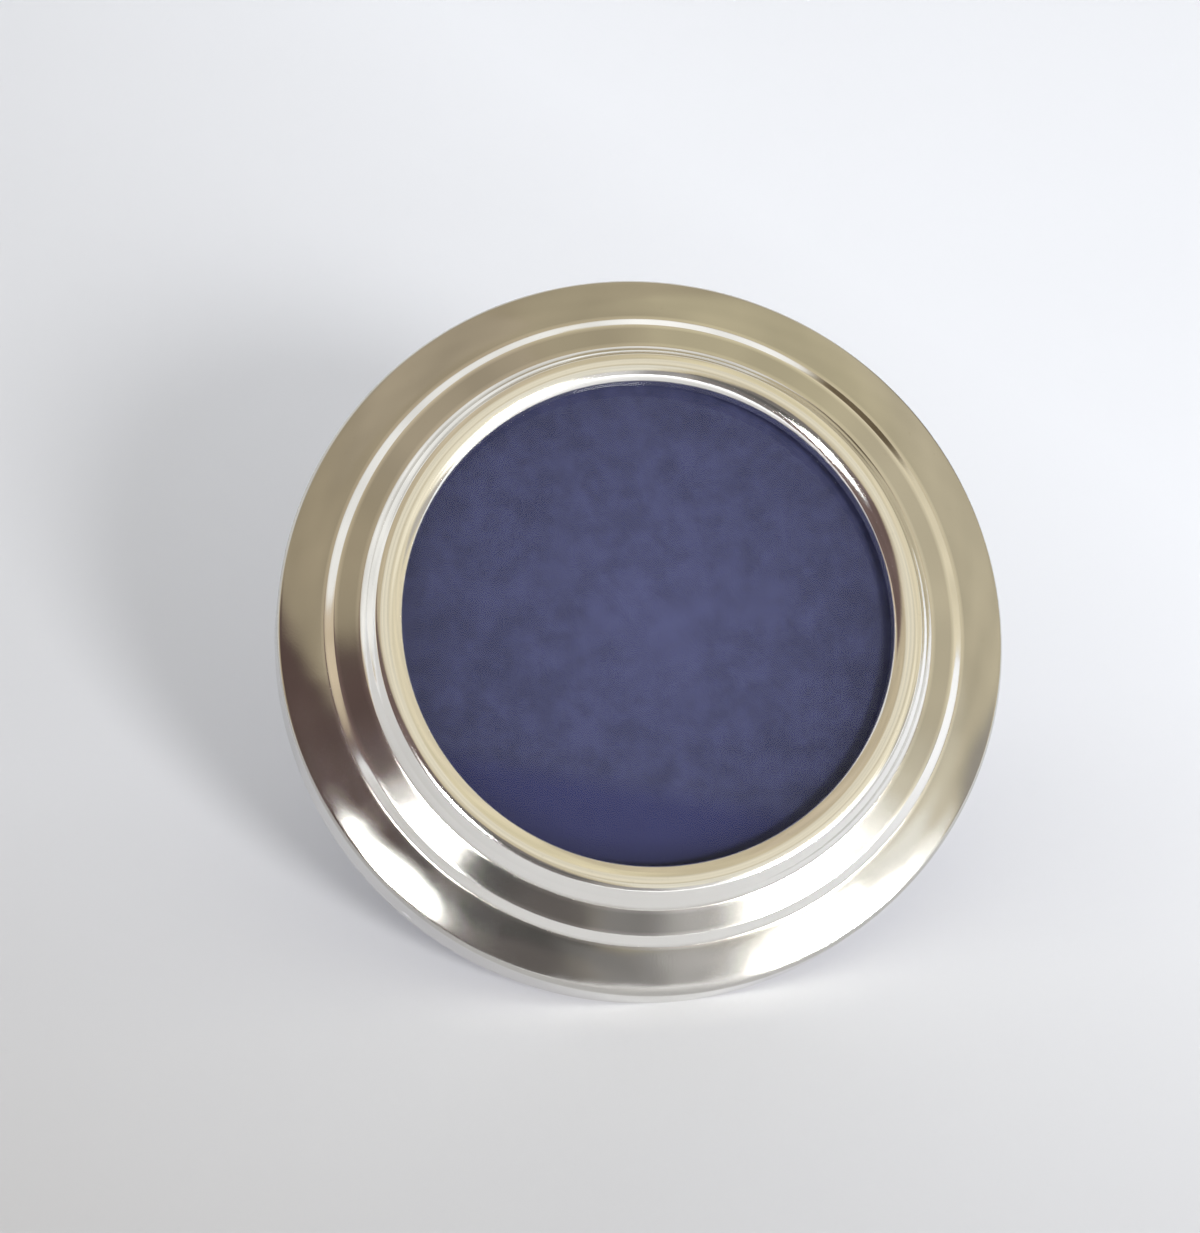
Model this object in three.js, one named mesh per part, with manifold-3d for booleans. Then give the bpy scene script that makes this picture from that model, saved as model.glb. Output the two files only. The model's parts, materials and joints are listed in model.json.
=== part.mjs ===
// A round silver photo frame that leans back on a velvet covered easel strut.
// Millimetres, +Z up. The glass faces -Y, and the origin is on the table,
// under the middle of the frame's box.
import * as THREE from "three";
import { mergeVertices } from "three/addons/utils/BufferGeometryUtils.js";
import Module from "manifold-3d";

const wasm = await Module();
wasm.setup();

// Silver front: widths of its mouldings, from the sight edge outwards
const SIGHT_RADIUS = 30.05;
const BEAD_INNER_WIDTH = 2.25;
const BEAD_OUTER_WIDTH = 1.1;
const COVE_WIDTH = 0.85;
const BAND_WIDTH = 3.1;
const STEP_WIDTH = 1.1;
const FLANGE_WIDTH = 5.7;

// Silver front: heights of its mouldings, from the rim forwards
const FLANGE_RISE = 2.05;
const STEP_RISE = 1;
const BAND_RISE = 1.15;
const COVE_RISE = 1.15;
const BEAD_RISE = 0.45;
const BEAD_SINK = 0.95;
const SIGHT_WALL = 1.9;

// Silver front: curves, sheet and skirt
const FLANGE_BULGE = 0.12;
const COVE_HOLLOW = 0.05;
const RIM_ROUND = 0.4;
const SILVER_SHEET = 0.5;
const SKIRT_DEPTH = 8;

// Turned ring inside the silver, and the pins that hold the skirt to it
const RING_WALL = 3.4;
const RING_INSET = 0.4;
const RIM_PIN_COUNT = 4;
const RIM_PIN_HEAD_RADIUS = 0.8;
const RIM_PIN_RADIUS = 0.4;
const RIM_PIN_COVER = 1;

// Glass, cards and the back panel
const GLASS_LAP = 1.35;
const GLASS_THICKNESS = 1.6;
const CARD_THICKNESS = 0.8;
const BOARD_THICKNESS = 3;
const VELVET = 0.6;

// Butt hinge between the back panel and the strut
const HINGE_HEIGHT = 16;
const HINGE_WIDTH = 18;
const LEAF_LENGTH = 9;
const LEAF_THICKNESS = 0.6;
const KNUCKLE_RADIUS = 1.3;
const MIDDLE_KNUCKLE = 5.8;
const HINGE_PIN_RADIUS = 0.6;
const HINGE_PIN_HEAD_RADIUS = 1;
const HINGE_PIN_HEAD = 0.4;

// Easel strut, and how the frame stands on it
const LEAN = THREE.MathUtils.degToRad(40);
const STRUT_OPEN = THREE.MathUtils.degToRad(64);
const STRUT_TOP_WIDTH = 20;
const STRUT_FOOT_WIDTH = 27;
const STRUT_CORNER = 2.5;
const STRUT_THICKNESS = 2.4;

// Stay ribbon that stops the strut from opening further
const RIBBON_REACH = 37;
const RIBBON_WIDTH = 10;
const RIBBON_THICKNESS = 0.4;
const RIBBON_TAB = 7;

// Rivets through the hinge leaves and the ribbon's tabs
const RIVET_RADIUS = 0.8;
const RIVET_HEAD_RADIUS = 1.5;
const RIVET_DOME = 0.7;
const RIVET_TAIL_RADIUS = 1.2;
const RIVET_TAIL = 0.4;
const RIVET_INSET = 3.5;
const COUNTERBORE = 1;

// Clearances: between nested pieces, and round pins and under rivets
const FIT = 0.3;
const SEAT = 0.15;

// Facets, and how far a cutting shape passes the piece that it cuts
const ROUND_SIDES = 64;
const SMALL_SIDES = 16;
const CURVE_STEPS = 3;
const DOME_STEPS = 3;
const OVERRUN = 6;
const TABLE_SIZE = 300;
const WELD = 1e-4;

// Radii of the silver front's edges
const beadCrest = SIGHT_RADIUS + BEAD_INNER_WIDTH;
const beadEnd = beadCrest + BEAD_OUTER_WIDTH;
const coveMiddle = beadEnd + COVE_WIDTH;
const coveEnd = coveMiddle + COVE_WIDTH;
const bandEnd = coveEnd + BAND_WIDTH;
const stepEnd = bandEnd + STEP_WIDTH;
const rimRadius = stepEnd + FLANGE_WIDTH;

// Depths behind the rim's front edge, so what stands in front of it is negative
const stepFoot = -FLANGE_RISE;
const bandFoot = stepFoot - STEP_RISE;
const coveFoot = bandFoot - BAND_RISE;
const coveArris = coveFoot - COVE_RISE;
const beadFoot = coveArris - COVE_RISE;
const crest = beadFoot - BEAD_RISE;
const sightEdge = crest + BEAD_SINK;
const wallEnd = sightEdge + SIGHT_WALL;

// Depths of what is stacked behind the sight wall, and of the back panel in the ring's rear recess
const glassFront = wallEnd + FIT;
const glassRear = glassFront + GLASS_THICKNESS;
const cardFront = glassRear + FIT;
const cardRear = cardFront + CARD_THICKNESS;
const ringRear = SKIRT_DEPTH - RING_INSET;
const velvetRear = ringRear;
const boardRear = velvetRear - VELVET - FIT;
const boardFront = boardRear - BOARD_THICKNESS;
const shoulder = boardFront - FIT;

// Radii of the same pieces
const glassRadius = SIGHT_RADIUS + GLASS_LAP;
const ringBore = glassRadius + FIT;
const ringRadius = rimRadius - SILVER_SHEET - FIT;
const recessRadius = ringRadius - RING_WALL;
const velvetRadius = recessRadius - FIT;
const boardRadius = velvetRadius - VELVET - FIT;

// Hinge pin's place on the back, and depths of the strut measured from the pin while it is folded
const leafFront = velvetRear + SEAT;
const leafRear = leafFront + LEAF_THICKNESS;
const pivotDepth = leafFront + KNUCKLE_RADIUS;
const strutLeafFront = -KNUCKLE_RADIUS;
const strutLeafRear = strutLeafFront + LEAF_THICKNESS;
const strutFront = strutLeafRear + SEAT;
const strutRear = strutFront + STRUT_THICKNESS;
const coverRear = strutRear + FIT + VELVET;
const leafStart = KNUCKLE_RADIUS + FIT;
const strutTop = leafStart + VELVET + FIT;

// Where the table lies: under the skirt's lowest rear edge, and so far below the hinge pin
const flatOfRound = Math.cos(Math.PI / ROUND_SIDES);
const hingeAboveEdge = HINGE_HEIGHT + rimRadius * flatOfRound;
const hingeBehindEdge = pivotDepth - SKIRT_DEPTH;
const hingeAboveTable = hingeAboveEdge * Math.cos(LEAN) - hingeBehindEdge * Math.sin(LEAN);
const strutFromVertical = STRUT_OPEN - LEAN;
const strutReach = hingeAboveTable / Math.cos(strutFromVertical);

// Rivets: places across and along the leaves, and along the ribbon's tabs
const rivetAcross = [RIVET_INSET - HINGE_WIDTH / 2, HINGE_WIDTH / 2 - RIVET_INSET];
const leafMiddle = (leafStart + LEAF_LENGTH) / 2;
const tabMiddle = RIBBON_REACH + RIBBON_TAB / 2;

// Materials
const silver = new THREE.MeshStandardMaterial({ color: 0xdcd8cc, metalness: 1, roughness: 0.18 });
const wood = new THREE.MeshStandardMaterial({ color: 0x6b4128, roughness: 0.6 });
const glass = new THREE.MeshStandardMaterial({ color: 0xdfe8e8, roughness: 0.04, transparent: true });
glass.opacity = 0.25;
const blueCard = new THREE.MeshStandardMaterial({ color: 0x46487a, roughness: 0.9 });
const kraftCard = new THREE.MeshStandardMaterial({ color: 0xa98a5f, roughness: 0.95 });
const greyBoard = new THREE.MeshStandardMaterial({ color: 0x8b8378, roughness: 0.9 });
const blueVelvet = new THREE.MeshStandardMaterial({ color: 0x23264f, roughness: 1 });
const blueRibbon = new THREE.MeshStandardMaterial({ color: 0x2b2f5e, roughness: 0.7 });
const brass = new THREE.MeshStandardMaterial({ color: 0xb99a55, metalness: 1, roughness: 0.35 });

// A point of a profile: radius from the frame's axis, and depth
function at(radius, depth) {
  return new THREE.Vector2(radius, depth);
}

// A closed body as a solid that can be joined and cut
function solidOf(geometry) {
  const bare = geometry.clone();
  bare.deleteAttribute("normal");
  bare.deleteAttribute("uv");
  const welded = mergeVertices(bare, WELD);
  return new wasm.Manifold(new wasm.Mesh({
    numProp: 3,
    vertProperties: welded.attributes.position.array,
    triVerts: Uint32Array.from(welded.index.array),
  }));
}

function geometryOf(solid) {
  const mesh = solid.getMesh();
  const geometry = new THREE.BufferGeometry();
  geometry.setAttribute("position", new THREE.BufferAttribute(mesh.vertProperties, mesh.numProp));
  geometry.setIndex(new THREE.BufferAttribute(mesh.triVerts, 1));
  geometry.computeVertexNormals();
  return geometry;
}

function join(...geometries) {
  return geometryOf(geometries.map(solidOf).reduce((body, other) => body.add(other)));
}

function cut(geometry, ...tools) {
  return geometryOf(tools.map(solidOf).reduce((body, tool) => body.subtract(tool), solidOf(geometry)));
}

// A profile turned round the frame's axis, with a flat facet at the bottom
function turned(profile, sides = ROUND_SIDES) {
  return new THREE.LatheGeometry(profile, sides, Math.PI / sides);
}

function disc(radius, front, rear) {
  return turned([at(0, front), at(radius, front), at(radius, rear), at(0, rear)]);
}

function block(x0, x1, y0, y1, z0, z1) {
  const box = new THREE.BoxGeometry(x1 - x0, y1 - y0, z1 - z0);
  return box.translate((x0 + x1) / 2, (y0 + y1) / 2, (z0 + z1) / 2);
}

// An outline in X and Z, thick from front to rear
function plate(outline, front, rear) {
  const slab = new THREE.ExtrudeGeometry(outline, { depth: rear - front, bevelEnabled: false });
  return slab.rotateX(Math.PI / 2).translate(0, rear, 0);
}

// A round hole through the depth of a piece
function hole(radius, x, z, front, rear) {
  const drill = new THREE.CylinderGeometry(radius, radius, rear - front, SMALL_SIDES);
  return drill.translate(x, (front + rear) / 2, z);
}

// The control point of an arc that bulges out from its chord, or is hollow where the bulge is negative
function bowed(start, end, bulge) {
  const chord = end.clone().sub(start);
  const outward = at(chord.y, -chord.x).normalize();
  return start.clone().lerp(end, 0.5).addScaledVector(outward, 2 * bulge);
}

// A line of points moved sideways by one distance, with its corners mitred
function inset(points, distance) {
  const sideways = points.slice(1).map((point, i) => {
    const along = point.clone().sub(points[i]).normalize();
    return at(-along.y, along.x);
  });
  return points.map((point, i) => {
    const before = sideways[Math.max(i - 1, 0)];
    const after = sideways[Math.min(i, sideways.length - 1)];
    const mitre = before.clone().add(after).normalize();
    return point.clone().addScaledVector(mitre, distance / mitre.dot(before));
  });
}

function bowTo(path, end, bulge) {
  const control = bowed(path.currentPoint, end, bulge);
  path.quadraticCurveTo(control.x, control.y, end.x, end.y);
}

// The face of the silver: sight wall, bead, two coves, band, step, bulged flange, round rim and skirt
function silverFace() {
  const face = new THREE.Path();
  face.moveTo(SIGHT_RADIUS, wallEnd);
  face.lineTo(SIGHT_RADIUS, sightEdge);
  face.quadraticCurveTo(beadCrest - BEAD_INNER_WIDTH / 2, crest, beadCrest, crest);
  face.quadraticCurveTo(beadCrest + BEAD_OUTER_WIDTH / 2, crest, beadEnd, beadFoot);
  bowTo(face, at(coveMiddle, coveArris), -COVE_HOLLOW);
  bowTo(face, at(coveEnd, coveFoot), -COVE_HOLLOW);
  face.lineTo(bandEnd, bandFoot);
  face.lineTo(stepEnd, stepFoot);
  bowTo(face, at(rimRadius - RIM_ROUND, -RIM_ROUND / 2), FLANGE_BULGE);
  face.quadraticCurveTo(rimRadius, 0, rimRadius, RIM_ROUND);
  face.lineTo(rimRadius, SKIRT_DEPTH);
  return face.getPoints(CURVE_STEPS);
}

// A cutting rod on a radius of the frame, between two distances from its axis
function radialHole(radius, from, to, turn) {
  const rod = new THREE.CylinderGeometry(radius, radius, to - from, SMALL_SIDES);
  rod.translate(0, (from + to) / 2, 0);
  return rod.rotateX(Math.PI / 2).rotateY(turn).translate(0, rimPinDepth, 0);
}

// Rim pins: how deep they stand, where their heads seat and end, and their turns from the top
const rimPinDepth = (shoulder + ringRear) / 2;
const rimPinSeat = ringRadius * flatOfRound + SEAT;
const rimPinTop = rimRadius * flatOfRound;
const rimPinTip = ringRadius * flatOfRound - RING_WALL + RIM_PIN_COVER;
const rimPinTurns = Array.from(
  { length: RIM_PIN_COUNT },
  (_, i) => ((i + 0.5) / RIM_PIN_COUNT) * 2 * Math.PI,
);

function silverFront() {
  const face = silverFace();
  const inside = inset(face, SILVER_SHEET).reverse();
  const shell = turned([...face, ...inside, face[0]]);
  const radius = RIM_PIN_HEAD_RADIUS + SEAT;
  const holes = rimPinTurns.map((turn) => radialHole(radius, ringRadius - SEAT, rimRadius + OVERRUN, turn));
  return cut(shell, ...holes);
}

// The ring follows the underside of the silver, from the glass to the back
function formerRing() {
  const underside = inset([
    at(beadEnd, beadFoot),
    at(coveEnd, coveFoot),
    at(bandEnd, bandFoot),
    at(stepEnd, stepFoot),
    at(rimRadius, 0),
    at(rimRadius, ringRear),
  ], SILVER_SHEET + FIT);
  const first = underside.findIndex((point) => point.y > glassFront);
  const [above, below] = [underside[first - 1], underside[first]];
  const meeting = above.clone().lerp(below, (glassFront - above.y) / (below.y - above.y));
  const ring = turned([
    at(ringBore, glassFront),
    meeting,
    ...underside.slice(first),
    at(recessRadius, ringRear),
    at(recessRadius, shoulder),
    at(ringBore, shoulder),
    at(ringBore, glassFront),
  ]);
  const radius = RIM_PIN_RADIUS + SEAT;
  const holes = rimPinTurns.map((turn) => radialHole(radius, rimPinTip - SEAT, rimRadius + OVERRUN, turn));
  return cut(ring, ...holes);
}

function rimPin(turn) {
  const pin = turned([
    at(0, rimPinTip),
    at(RIM_PIN_RADIUS, rimPinTip),
    at(RIM_PIN_RADIUS, rimPinSeat),
    at(RIM_PIN_HEAD_RADIUS, rimPinSeat),
    at(RIM_PIN_HEAD_RADIUS, rimPinTop),
    at(0, rimPinTop),
  ], SMALL_SIDES);
  return pin.rotateX(Math.PI / 2).rotateY(turn).translate(0, rimPinDepth, 0);
}

// A rivet along the depth, with a domed head seated at one depth and a flat tail at another
function rivet(headSeat, tailSeat) {
  const out = Math.sign(headSeat - tailSeat);
  const dome = Array.from({ length: DOME_STEPS + 1 }, (_, i) => {
    const angle = (i / DOME_STEPS) * (Math.PI / 2);
    return at(RIVET_HEAD_RADIUS * Math.cos(angle), headSeat + out * RIVET_DOME * Math.sin(angle));
  });
  const profile = [
    at(0, tailSeat - out * RIVET_TAIL),
    at(RIVET_TAIL_RADIUS, tailSeat - out * RIVET_TAIL),
    at(RIVET_TAIL_RADIUS, tailSeat),
    at(RIVET_RADIUS, tailSeat),
    at(RIVET_RADIUS, headSeat),
    ...dome,
  ];
  return turned(out > 0 ? profile : profile.reverse(), SMALL_SIDES);
}

const rivetHoleRadius = RIVET_RADIUS + SEAT;
const backRivetTail = boardFront + COUNTERBORE - SEAT;

// Places of the rivets on the back panel, as [x, z]
const backRivetPlaces = [
  ...rivetAcross.map((x) => [x, HINGE_HEIGHT + leafMiddle]),
  [0, HINGE_HEIGHT - tabMiddle],
];

// Places of the rivets on the strut, as [x, z] from the hinge pin
const strutRivetPlaces = [...rivetAcross.map((x) => [x, -leafMiddle]), [0, -tabMiddle]];

function backBoard() {
  const board = disc(boardRadius, boardFront, boardRear);
  const holes = backRivetPlaces.flatMap(([x, z]) => [
    hole(rivetHoleRadius, x, z, boardFront - OVERRUN, boardRear + OVERRUN),
    hole(RIVET_TAIL_RADIUS + SEAT, x, z, boardFront - OVERRUN, boardFront + COUNTERBORE),
  ]);
  return cut(board, ...holes);
}

// Velvet over the back of the board and round its edge
function backVelvet() {
  const cover = turned([
    at(0, velvetRear - VELVET),
    at(velvetRadius - VELVET, velvetRear - VELVET),
    at(velvetRadius - VELVET, boardFront),
    at(velvetRadius, boardFront),
    at(velvetRadius, velvetRear),
    at(0, velvetRear),
  ]);
  const holes = backRivetPlaces.map(([x, z]) => (
    hole(rivetHoleRadius, x, z, boardFront - OVERRUN, velvetRear + OVERRUN)
  ));
  return cut(cover, ...holes);
}

// A knuckle or a bore round the hinge pin, from one X to another
function barrel(radius, from, to) {
  const tube = new THREE.CylinderGeometry(radius, radius, to - from, SMALL_SIDES);
  return tube.rotateZ(Math.PI / 2).translate((from + to) / 2, 0, 0);
}

// A hinge leaf round the pin at the origin: it goes up where side is 1, and down where side is -1
function hingeLeaf(side, knuckles) {
  const half = HINGE_WIDTH / 2;
  const rear = strutLeafRear;
  const span = (from, to) => [Math.min(side * from, side * to), Math.max(side * from, side * to)];
  const pieces = [block(-half, half, strutLeafFront, rear, ...span(leafStart, LEAF_LENGTH))];
  for (const [from, to] of knuckles) {
    pieces.push(block(from, to, strutLeafFront, rear, ...span(0, leafStart + LEAF_THICKNESS)));
    pieces.push(barrel(KNUCKLE_RADIUS, from, to));
  }
  const bore = barrel(HINGE_PIN_RADIUS + SEAT, -half - OVERRUN, half + OVERRUN);
  const holes = rivetAcross.map((x) => (
    hole(rivetHoleRadius, x, side * leafMiddle, strutLeafFront - OVERRUN, rear + OVERRUN)
  ));
  return cut(join(...pieces), bore, ...holes);
}

const middleKnuckle = [-MIDDLE_KNUCKLE / 2, MIDDLE_KNUCKLE / 2];
const outerKnuckles = [
  [-HINGE_WIDTH / 2, middleKnuckle[0] - FIT],
  [middleKnuckle[1] + FIT, HINGE_WIDTH / 2],
];

function hingePin() {
  const shank = HINGE_WIDTH / 2 + SEAT;
  const end = shank + HINGE_PIN_HEAD;
  const pin = turned([
    at(0, -end),
    at(HINGE_PIN_HEAD_RADIUS, -end),
    at(HINGE_PIN_HEAD_RADIUS, -shank),
    at(HINGE_PIN_RADIUS, -shank),
    at(HINGE_PIN_RADIUS, shank),
    at(HINGE_PIN_HEAD_RADIUS, shank),
    at(HINGE_PIN_HEAD_RADIUS, end),
    at(0, end),
  ], SMALL_SIDES);
  return pin.rotateZ(Math.PI / 2);
}

// The strut's tapered outline, larger all round by a margin, that runs on past the table
function strutOutline(margin) {
  const top = margin - strutTop;
  const bottom = -strutReach - OVERRUN;
  const topHalf = STRUT_TOP_WIDTH / 2 + margin;
  const footHalf = STRUT_FOOT_WIDTH / 2 + margin;
  const corner = STRUT_CORNER + margin;
  const outline = new THREE.Shape();
  outline.moveTo(-footHalf, bottom);
  outline.lineTo(footHalf, bottom);
  outline.lineTo(topHalf, top - corner);
  outline.quadraticCurveTo(topHalf, top, topHalf - corner, top);
  outline.lineTo(corner - topHalf, top);
  outline.quadraticCurveTo(-topHalf, top, -topHalf, top - corner);
  outline.closePath();
  return outline;
}

// The table, as the open strut sees it from the hinge pin
function table() {
  const half = TABLE_SIZE / 2;
  const slab = block(-half, half, -half, half, -hingeAboveTable - TABLE_SIZE, -hingeAboveTable);
  return slab.rotateX(-strutFromVertical);
}

function strutHoles() {
  const [front, rear] = [strutFront - OVERRUN, coverRear + OVERRUN];
  return strutRivetPlaces.map(([x, z]) => hole(rivetHoleRadius, x, z, front, rear));
}

function strutBoard() {
  return cut(plate(strutOutline(0), strutFront, strutRear), table(), ...strutHoles());
}

// Velvet over the rear of the strut and round its edges, open at the foot
function strutVelvet() {
  const cover = plate(strutOutline(FIT + VELVET), strutFront, coverRear);
  const board = plate(strutOutline(FIT), strutFront - OVERRUN, strutRear + FIT);
  return cut(cover, board, table(), ...strutHoles());
}

// A point on the open strut, from its depth and its distance down from the hinge pin
function onStrut(depth, down) {
  return at(depth, -down).rotateAround(at(0, 0), STRUT_OPEN).add(at(pivotDepth, HINGE_HEIGHT));
}

// A taut ribbon between a tab on the back panel and a tab on the strut
function stayRibbon() {
  const onPanel = velvetRear + SEAT + RIBBON_THICKNESS / 2;
  const onStrutDepth = strutFront - SEAT - RIBBON_THICKNESS / 2;
  const line = [
    at(onPanel, HINGE_HEIGHT - RIBBON_REACH - RIBBON_TAB),
    at(onPanel, HINGE_HEIGHT - RIBBON_REACH),
    onStrut(onStrutDepth, RIBBON_REACH),
    onStrut(onStrutDepth, RIBBON_REACH + RIBBON_TAB),
  ];
  const section = new THREE.Shape([
    ...inset(line, RIBBON_THICKNESS / 2),
    ...inset(line, -RIBBON_THICKNESS / 2).reverse(),
  ]);
  const strip = new THREE.ExtrudeGeometry(section, { depth: RIBBON_WIDTH, bevelEnabled: false });
  const depthAxis = new THREE.Vector3(0, 1, 0);
  const heightAxis = new THREE.Vector3(0, 0, 1);
  const widthAxis = new THREE.Vector3(1, 0, 0);
  strip.applyMatrix4(new THREE.Matrix4().makeBasis(depthAxis, heightAxis, widthAxis));
  strip.translate(-RIBBON_WIDTH / 2, 0, 0);
  const tabHeight = HINGE_HEIGHT - tabMiddle;
  const panelHole = hole(rivetHoleRadius, 0, tabHeight, velvetRear - OVERRUN, velvetRear + OVERRUN);
  const strutHole = hole(rivetHoleRadius, 0, -tabMiddle, strutFront - OVERRUN, strutRear);
  strutHole.rotateX(STRUT_OPEN).translate(0, pivotDepth, HINGE_HEIGHT);
  return cut(strip, panelHole, strutHole);
}

function addPart(group, name, geometry, material, x = 0, z = 0) {
  const mesh = new THREE.Mesh(geometry, material);
  mesh.name = name;
  mesh.position.set(x, 0, z);
  group.add(mesh);
}

// The silver front with its ring, pins and glass
function addFront(group) {
  addPart(group, "silver_front", silverFront(), silver);
  addPart(group, "former_ring", formerRing(), wood);
  rimPinTurns.forEach((turn, i) => addPart(group, `rim_pin_${i + 1}`, rimPin(turn), silver));
  addPart(group, "glass", disc(glassRadius, glassFront, glassRear), glass);
}

// The back panel that pushes into the ring, with the cards it holds against the glass
function addBack(group) {
  addPart(group, "display_card", disc(glassRadius, cardFront, cardRear), blueCard);
  addPart(group, "packing_card", disc(glassRadius, cardRear + FIT, boardFront - FIT), kraftCard);
  addPart(group, "back_board", backBoard(), greyBoard);
  addPart(group, "back_velvet", backVelvet(), blueVelvet);
  addPart(group, "stay_ribbon", stayRibbon(), blueRibbon);
  const [left, right, ribbon] = backRivetPlaces;
  const leafRivet = rivet(leafRear + SEAT, backRivetTail);
  const ribbonRivet = rivet(velvetRear + SEAT + RIBBON_THICKNESS + SEAT, backRivetTail);
  addPart(group, "hinge_rivet_back_left", leafRivet, brass, ...left);
  addPart(group, "hinge_rivet_back_right", leafRivet.clone(), brass, ...right);
  addPart(group, "ribbon_rivet_back", ribbonRivet, brass, ...ribbon);
  const hinge = new THREE.Group();
  hinge.position.set(0, pivotDepth, HINGE_HEIGHT);
  addPart(hinge, "hinge_leaf_back", hingeLeaf(1, outerKnuckles), brass);
  addPart(hinge, "hinge_pin", hingePin(), brass);
  group.add(hinge);
}

// The strut, swung open round the hinge pin
function addStrut(group) {
  const strut = new THREE.Group();
  strut.position.set(0, pivotDepth, HINGE_HEIGHT);
  strut.rotation.x = STRUT_OPEN;
  addPart(strut, "strut_board", strutBoard(), greyBoard);
  addPart(strut, "strut_velvet", strutVelvet(), blueVelvet);
  addPart(strut, "hinge_leaf_strut", hingeLeaf(-1, [middleKnuckle]), brass);
  const [left, right, ribbon] = strutRivetPlaces;
  const leafRivet = rivet(coverRear + SEAT, strutLeafFront - SEAT);
  const ribbonRivet = rivet(strutFront - SEAT - RIBBON_THICKNESS - SEAT, coverRear + SEAT);
  addPart(strut, "hinge_rivet_strut_left", leafRivet, brass, ...left);
  addPart(strut, "hinge_rivet_strut_right", leafRivet.clone(), brass, ...right);
  addPart(strut, "ribbon_rivet_strut", ribbonRivet, brass, ...ribbon);
  group.add(strut);
}

// The upright frame, leaned back and stood on the table under the middle of its box
const leaning = new THREE.Group();
leaning.rotation.x = -LEAN;
addFront(leaning);
addBack(leaning);
addStrut(leaning);
const standing = new THREE.Box3().setFromObject(leaning, true);
const middle = standing.getCenter(new THREE.Vector3());
leaning.position.set(0, -middle.y, -standing.min.z);

const photoFrame = new THREE.Group();
photoFrame.name = "photo_frame";
photoFrame.add(leaning);

export default photoFrame;
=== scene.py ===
# A round silver photo frame on a velvet easel strut, dressed over its packed solids.
import json
import math
from types import SimpleNamespace

import bpy
import numpy as np
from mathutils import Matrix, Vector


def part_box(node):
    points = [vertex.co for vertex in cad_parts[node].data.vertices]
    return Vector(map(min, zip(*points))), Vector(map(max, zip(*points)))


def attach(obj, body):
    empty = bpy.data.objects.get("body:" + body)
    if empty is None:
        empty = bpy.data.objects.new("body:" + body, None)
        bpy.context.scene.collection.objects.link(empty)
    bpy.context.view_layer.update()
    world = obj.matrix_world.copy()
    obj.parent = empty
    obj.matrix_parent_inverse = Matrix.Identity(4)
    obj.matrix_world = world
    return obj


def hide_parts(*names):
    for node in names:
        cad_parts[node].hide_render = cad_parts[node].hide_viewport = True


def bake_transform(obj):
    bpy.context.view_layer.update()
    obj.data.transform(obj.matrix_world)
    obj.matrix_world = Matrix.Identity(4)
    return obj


bl_info = {
    "name": "Round silver photo frame",
    "version": (1, 0, 0),
    "blender": (4, 5, 0),
    "location": "3D View > Sidebar > Photo frame",
    "description": "Builds the finished pieces of a round silver photo frame and a plain stage",
    "category": "Object",
}

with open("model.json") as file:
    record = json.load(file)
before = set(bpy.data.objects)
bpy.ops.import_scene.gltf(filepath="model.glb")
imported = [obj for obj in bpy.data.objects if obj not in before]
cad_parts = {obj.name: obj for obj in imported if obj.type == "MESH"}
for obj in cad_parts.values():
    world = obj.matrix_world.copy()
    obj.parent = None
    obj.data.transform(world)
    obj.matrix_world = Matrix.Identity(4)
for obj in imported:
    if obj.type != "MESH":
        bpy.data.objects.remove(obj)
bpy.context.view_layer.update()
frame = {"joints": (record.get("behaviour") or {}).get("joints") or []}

MM = 0.001

# The frame's own directions, from its joints: straight out at the back, up the glass, and across
JOINTS = {joint["name"]: joint for joint in frame["joints"]}
REARWARD = np.array(JOINTS["back_release"]["axis"], float)
UPWARD = np.array([0.0, -REARWARD[2], REARWARD[1]])
ACROSS = np.array([1.0, 0.0, 0.0])
HINGE = np.array(JOINTS["strut_fold"]["pos_m"], float)
LEAN = math.atan2(-REARWARD[2], REARWARD[1])
RIM_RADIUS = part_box("silver_front")[1].x

# How finely lines are walked and rounds are divided
WALK_STEPS = 4000
BEND_SHARE = 0.55
ROUND_COLUMNS = 360
SMALL_COLUMNS = 40
CURVE_POINTS = 40
COARSE_POINTS = 5
SILVER_ROWS = 150
RING_ROWS = 90
PLATE_ROWS = 24
COVER_ROWS = 64
KNUCKLE_ROWS = 40
HINGE_PIN_ROWS = 70
RIVET_ROWS = 60
RIBBON_ROWS = 700
RIBBON_HALF = 13
PIN_DOME_POINTS = 12
RIVET_DOME_POINTS = 16
BEND_STEPS = 9
ROOM_TURNS = 241
ROOM_HEIGHTS = 97

# Pins round the rim that hold the silver skirt to the ring
RIM_PINS = 4

# An edge that bends more than this shows as a sharp one
SHARP_ANGLE = math.radians(55.0)

# Turned pieces stop this far from their axis and close there on their own middle
AXIS_GAP = 0.05 * MM
COVER_GAP = 0.5 * MM
PLATE_GAP_SHARE = 0.6
PIN_GAP_SHARE = 0.03
RIVET_GAP_SHARE = 0.02


def length(name, description, default):
    """A length property whose default is in millimetres."""
    return bpy.props.FloatProperty(
        name=name, description=description, default=default * MM, unit="LENGTH", precision=5
    )


def angle(name, description, default):
    """An angle property whose default is in degrees."""
    return bpy.props.FloatProperty(
        name=name, description=description, default=math.radians(default), unit="ROTATION"
    )


def colour(name, description, default):
    """A colour property in linear red, green and blue."""
    return bpy.props.FloatVectorProperty(
        name=name, description=description, default=default, size=3, subtype="COLOR", min=0.0, soft_max=1.0
    )


def amount(name, description, default):
    """A plain number property."""
    return bpy.props.FloatProperty(name=name, description=description, default=default)


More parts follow.
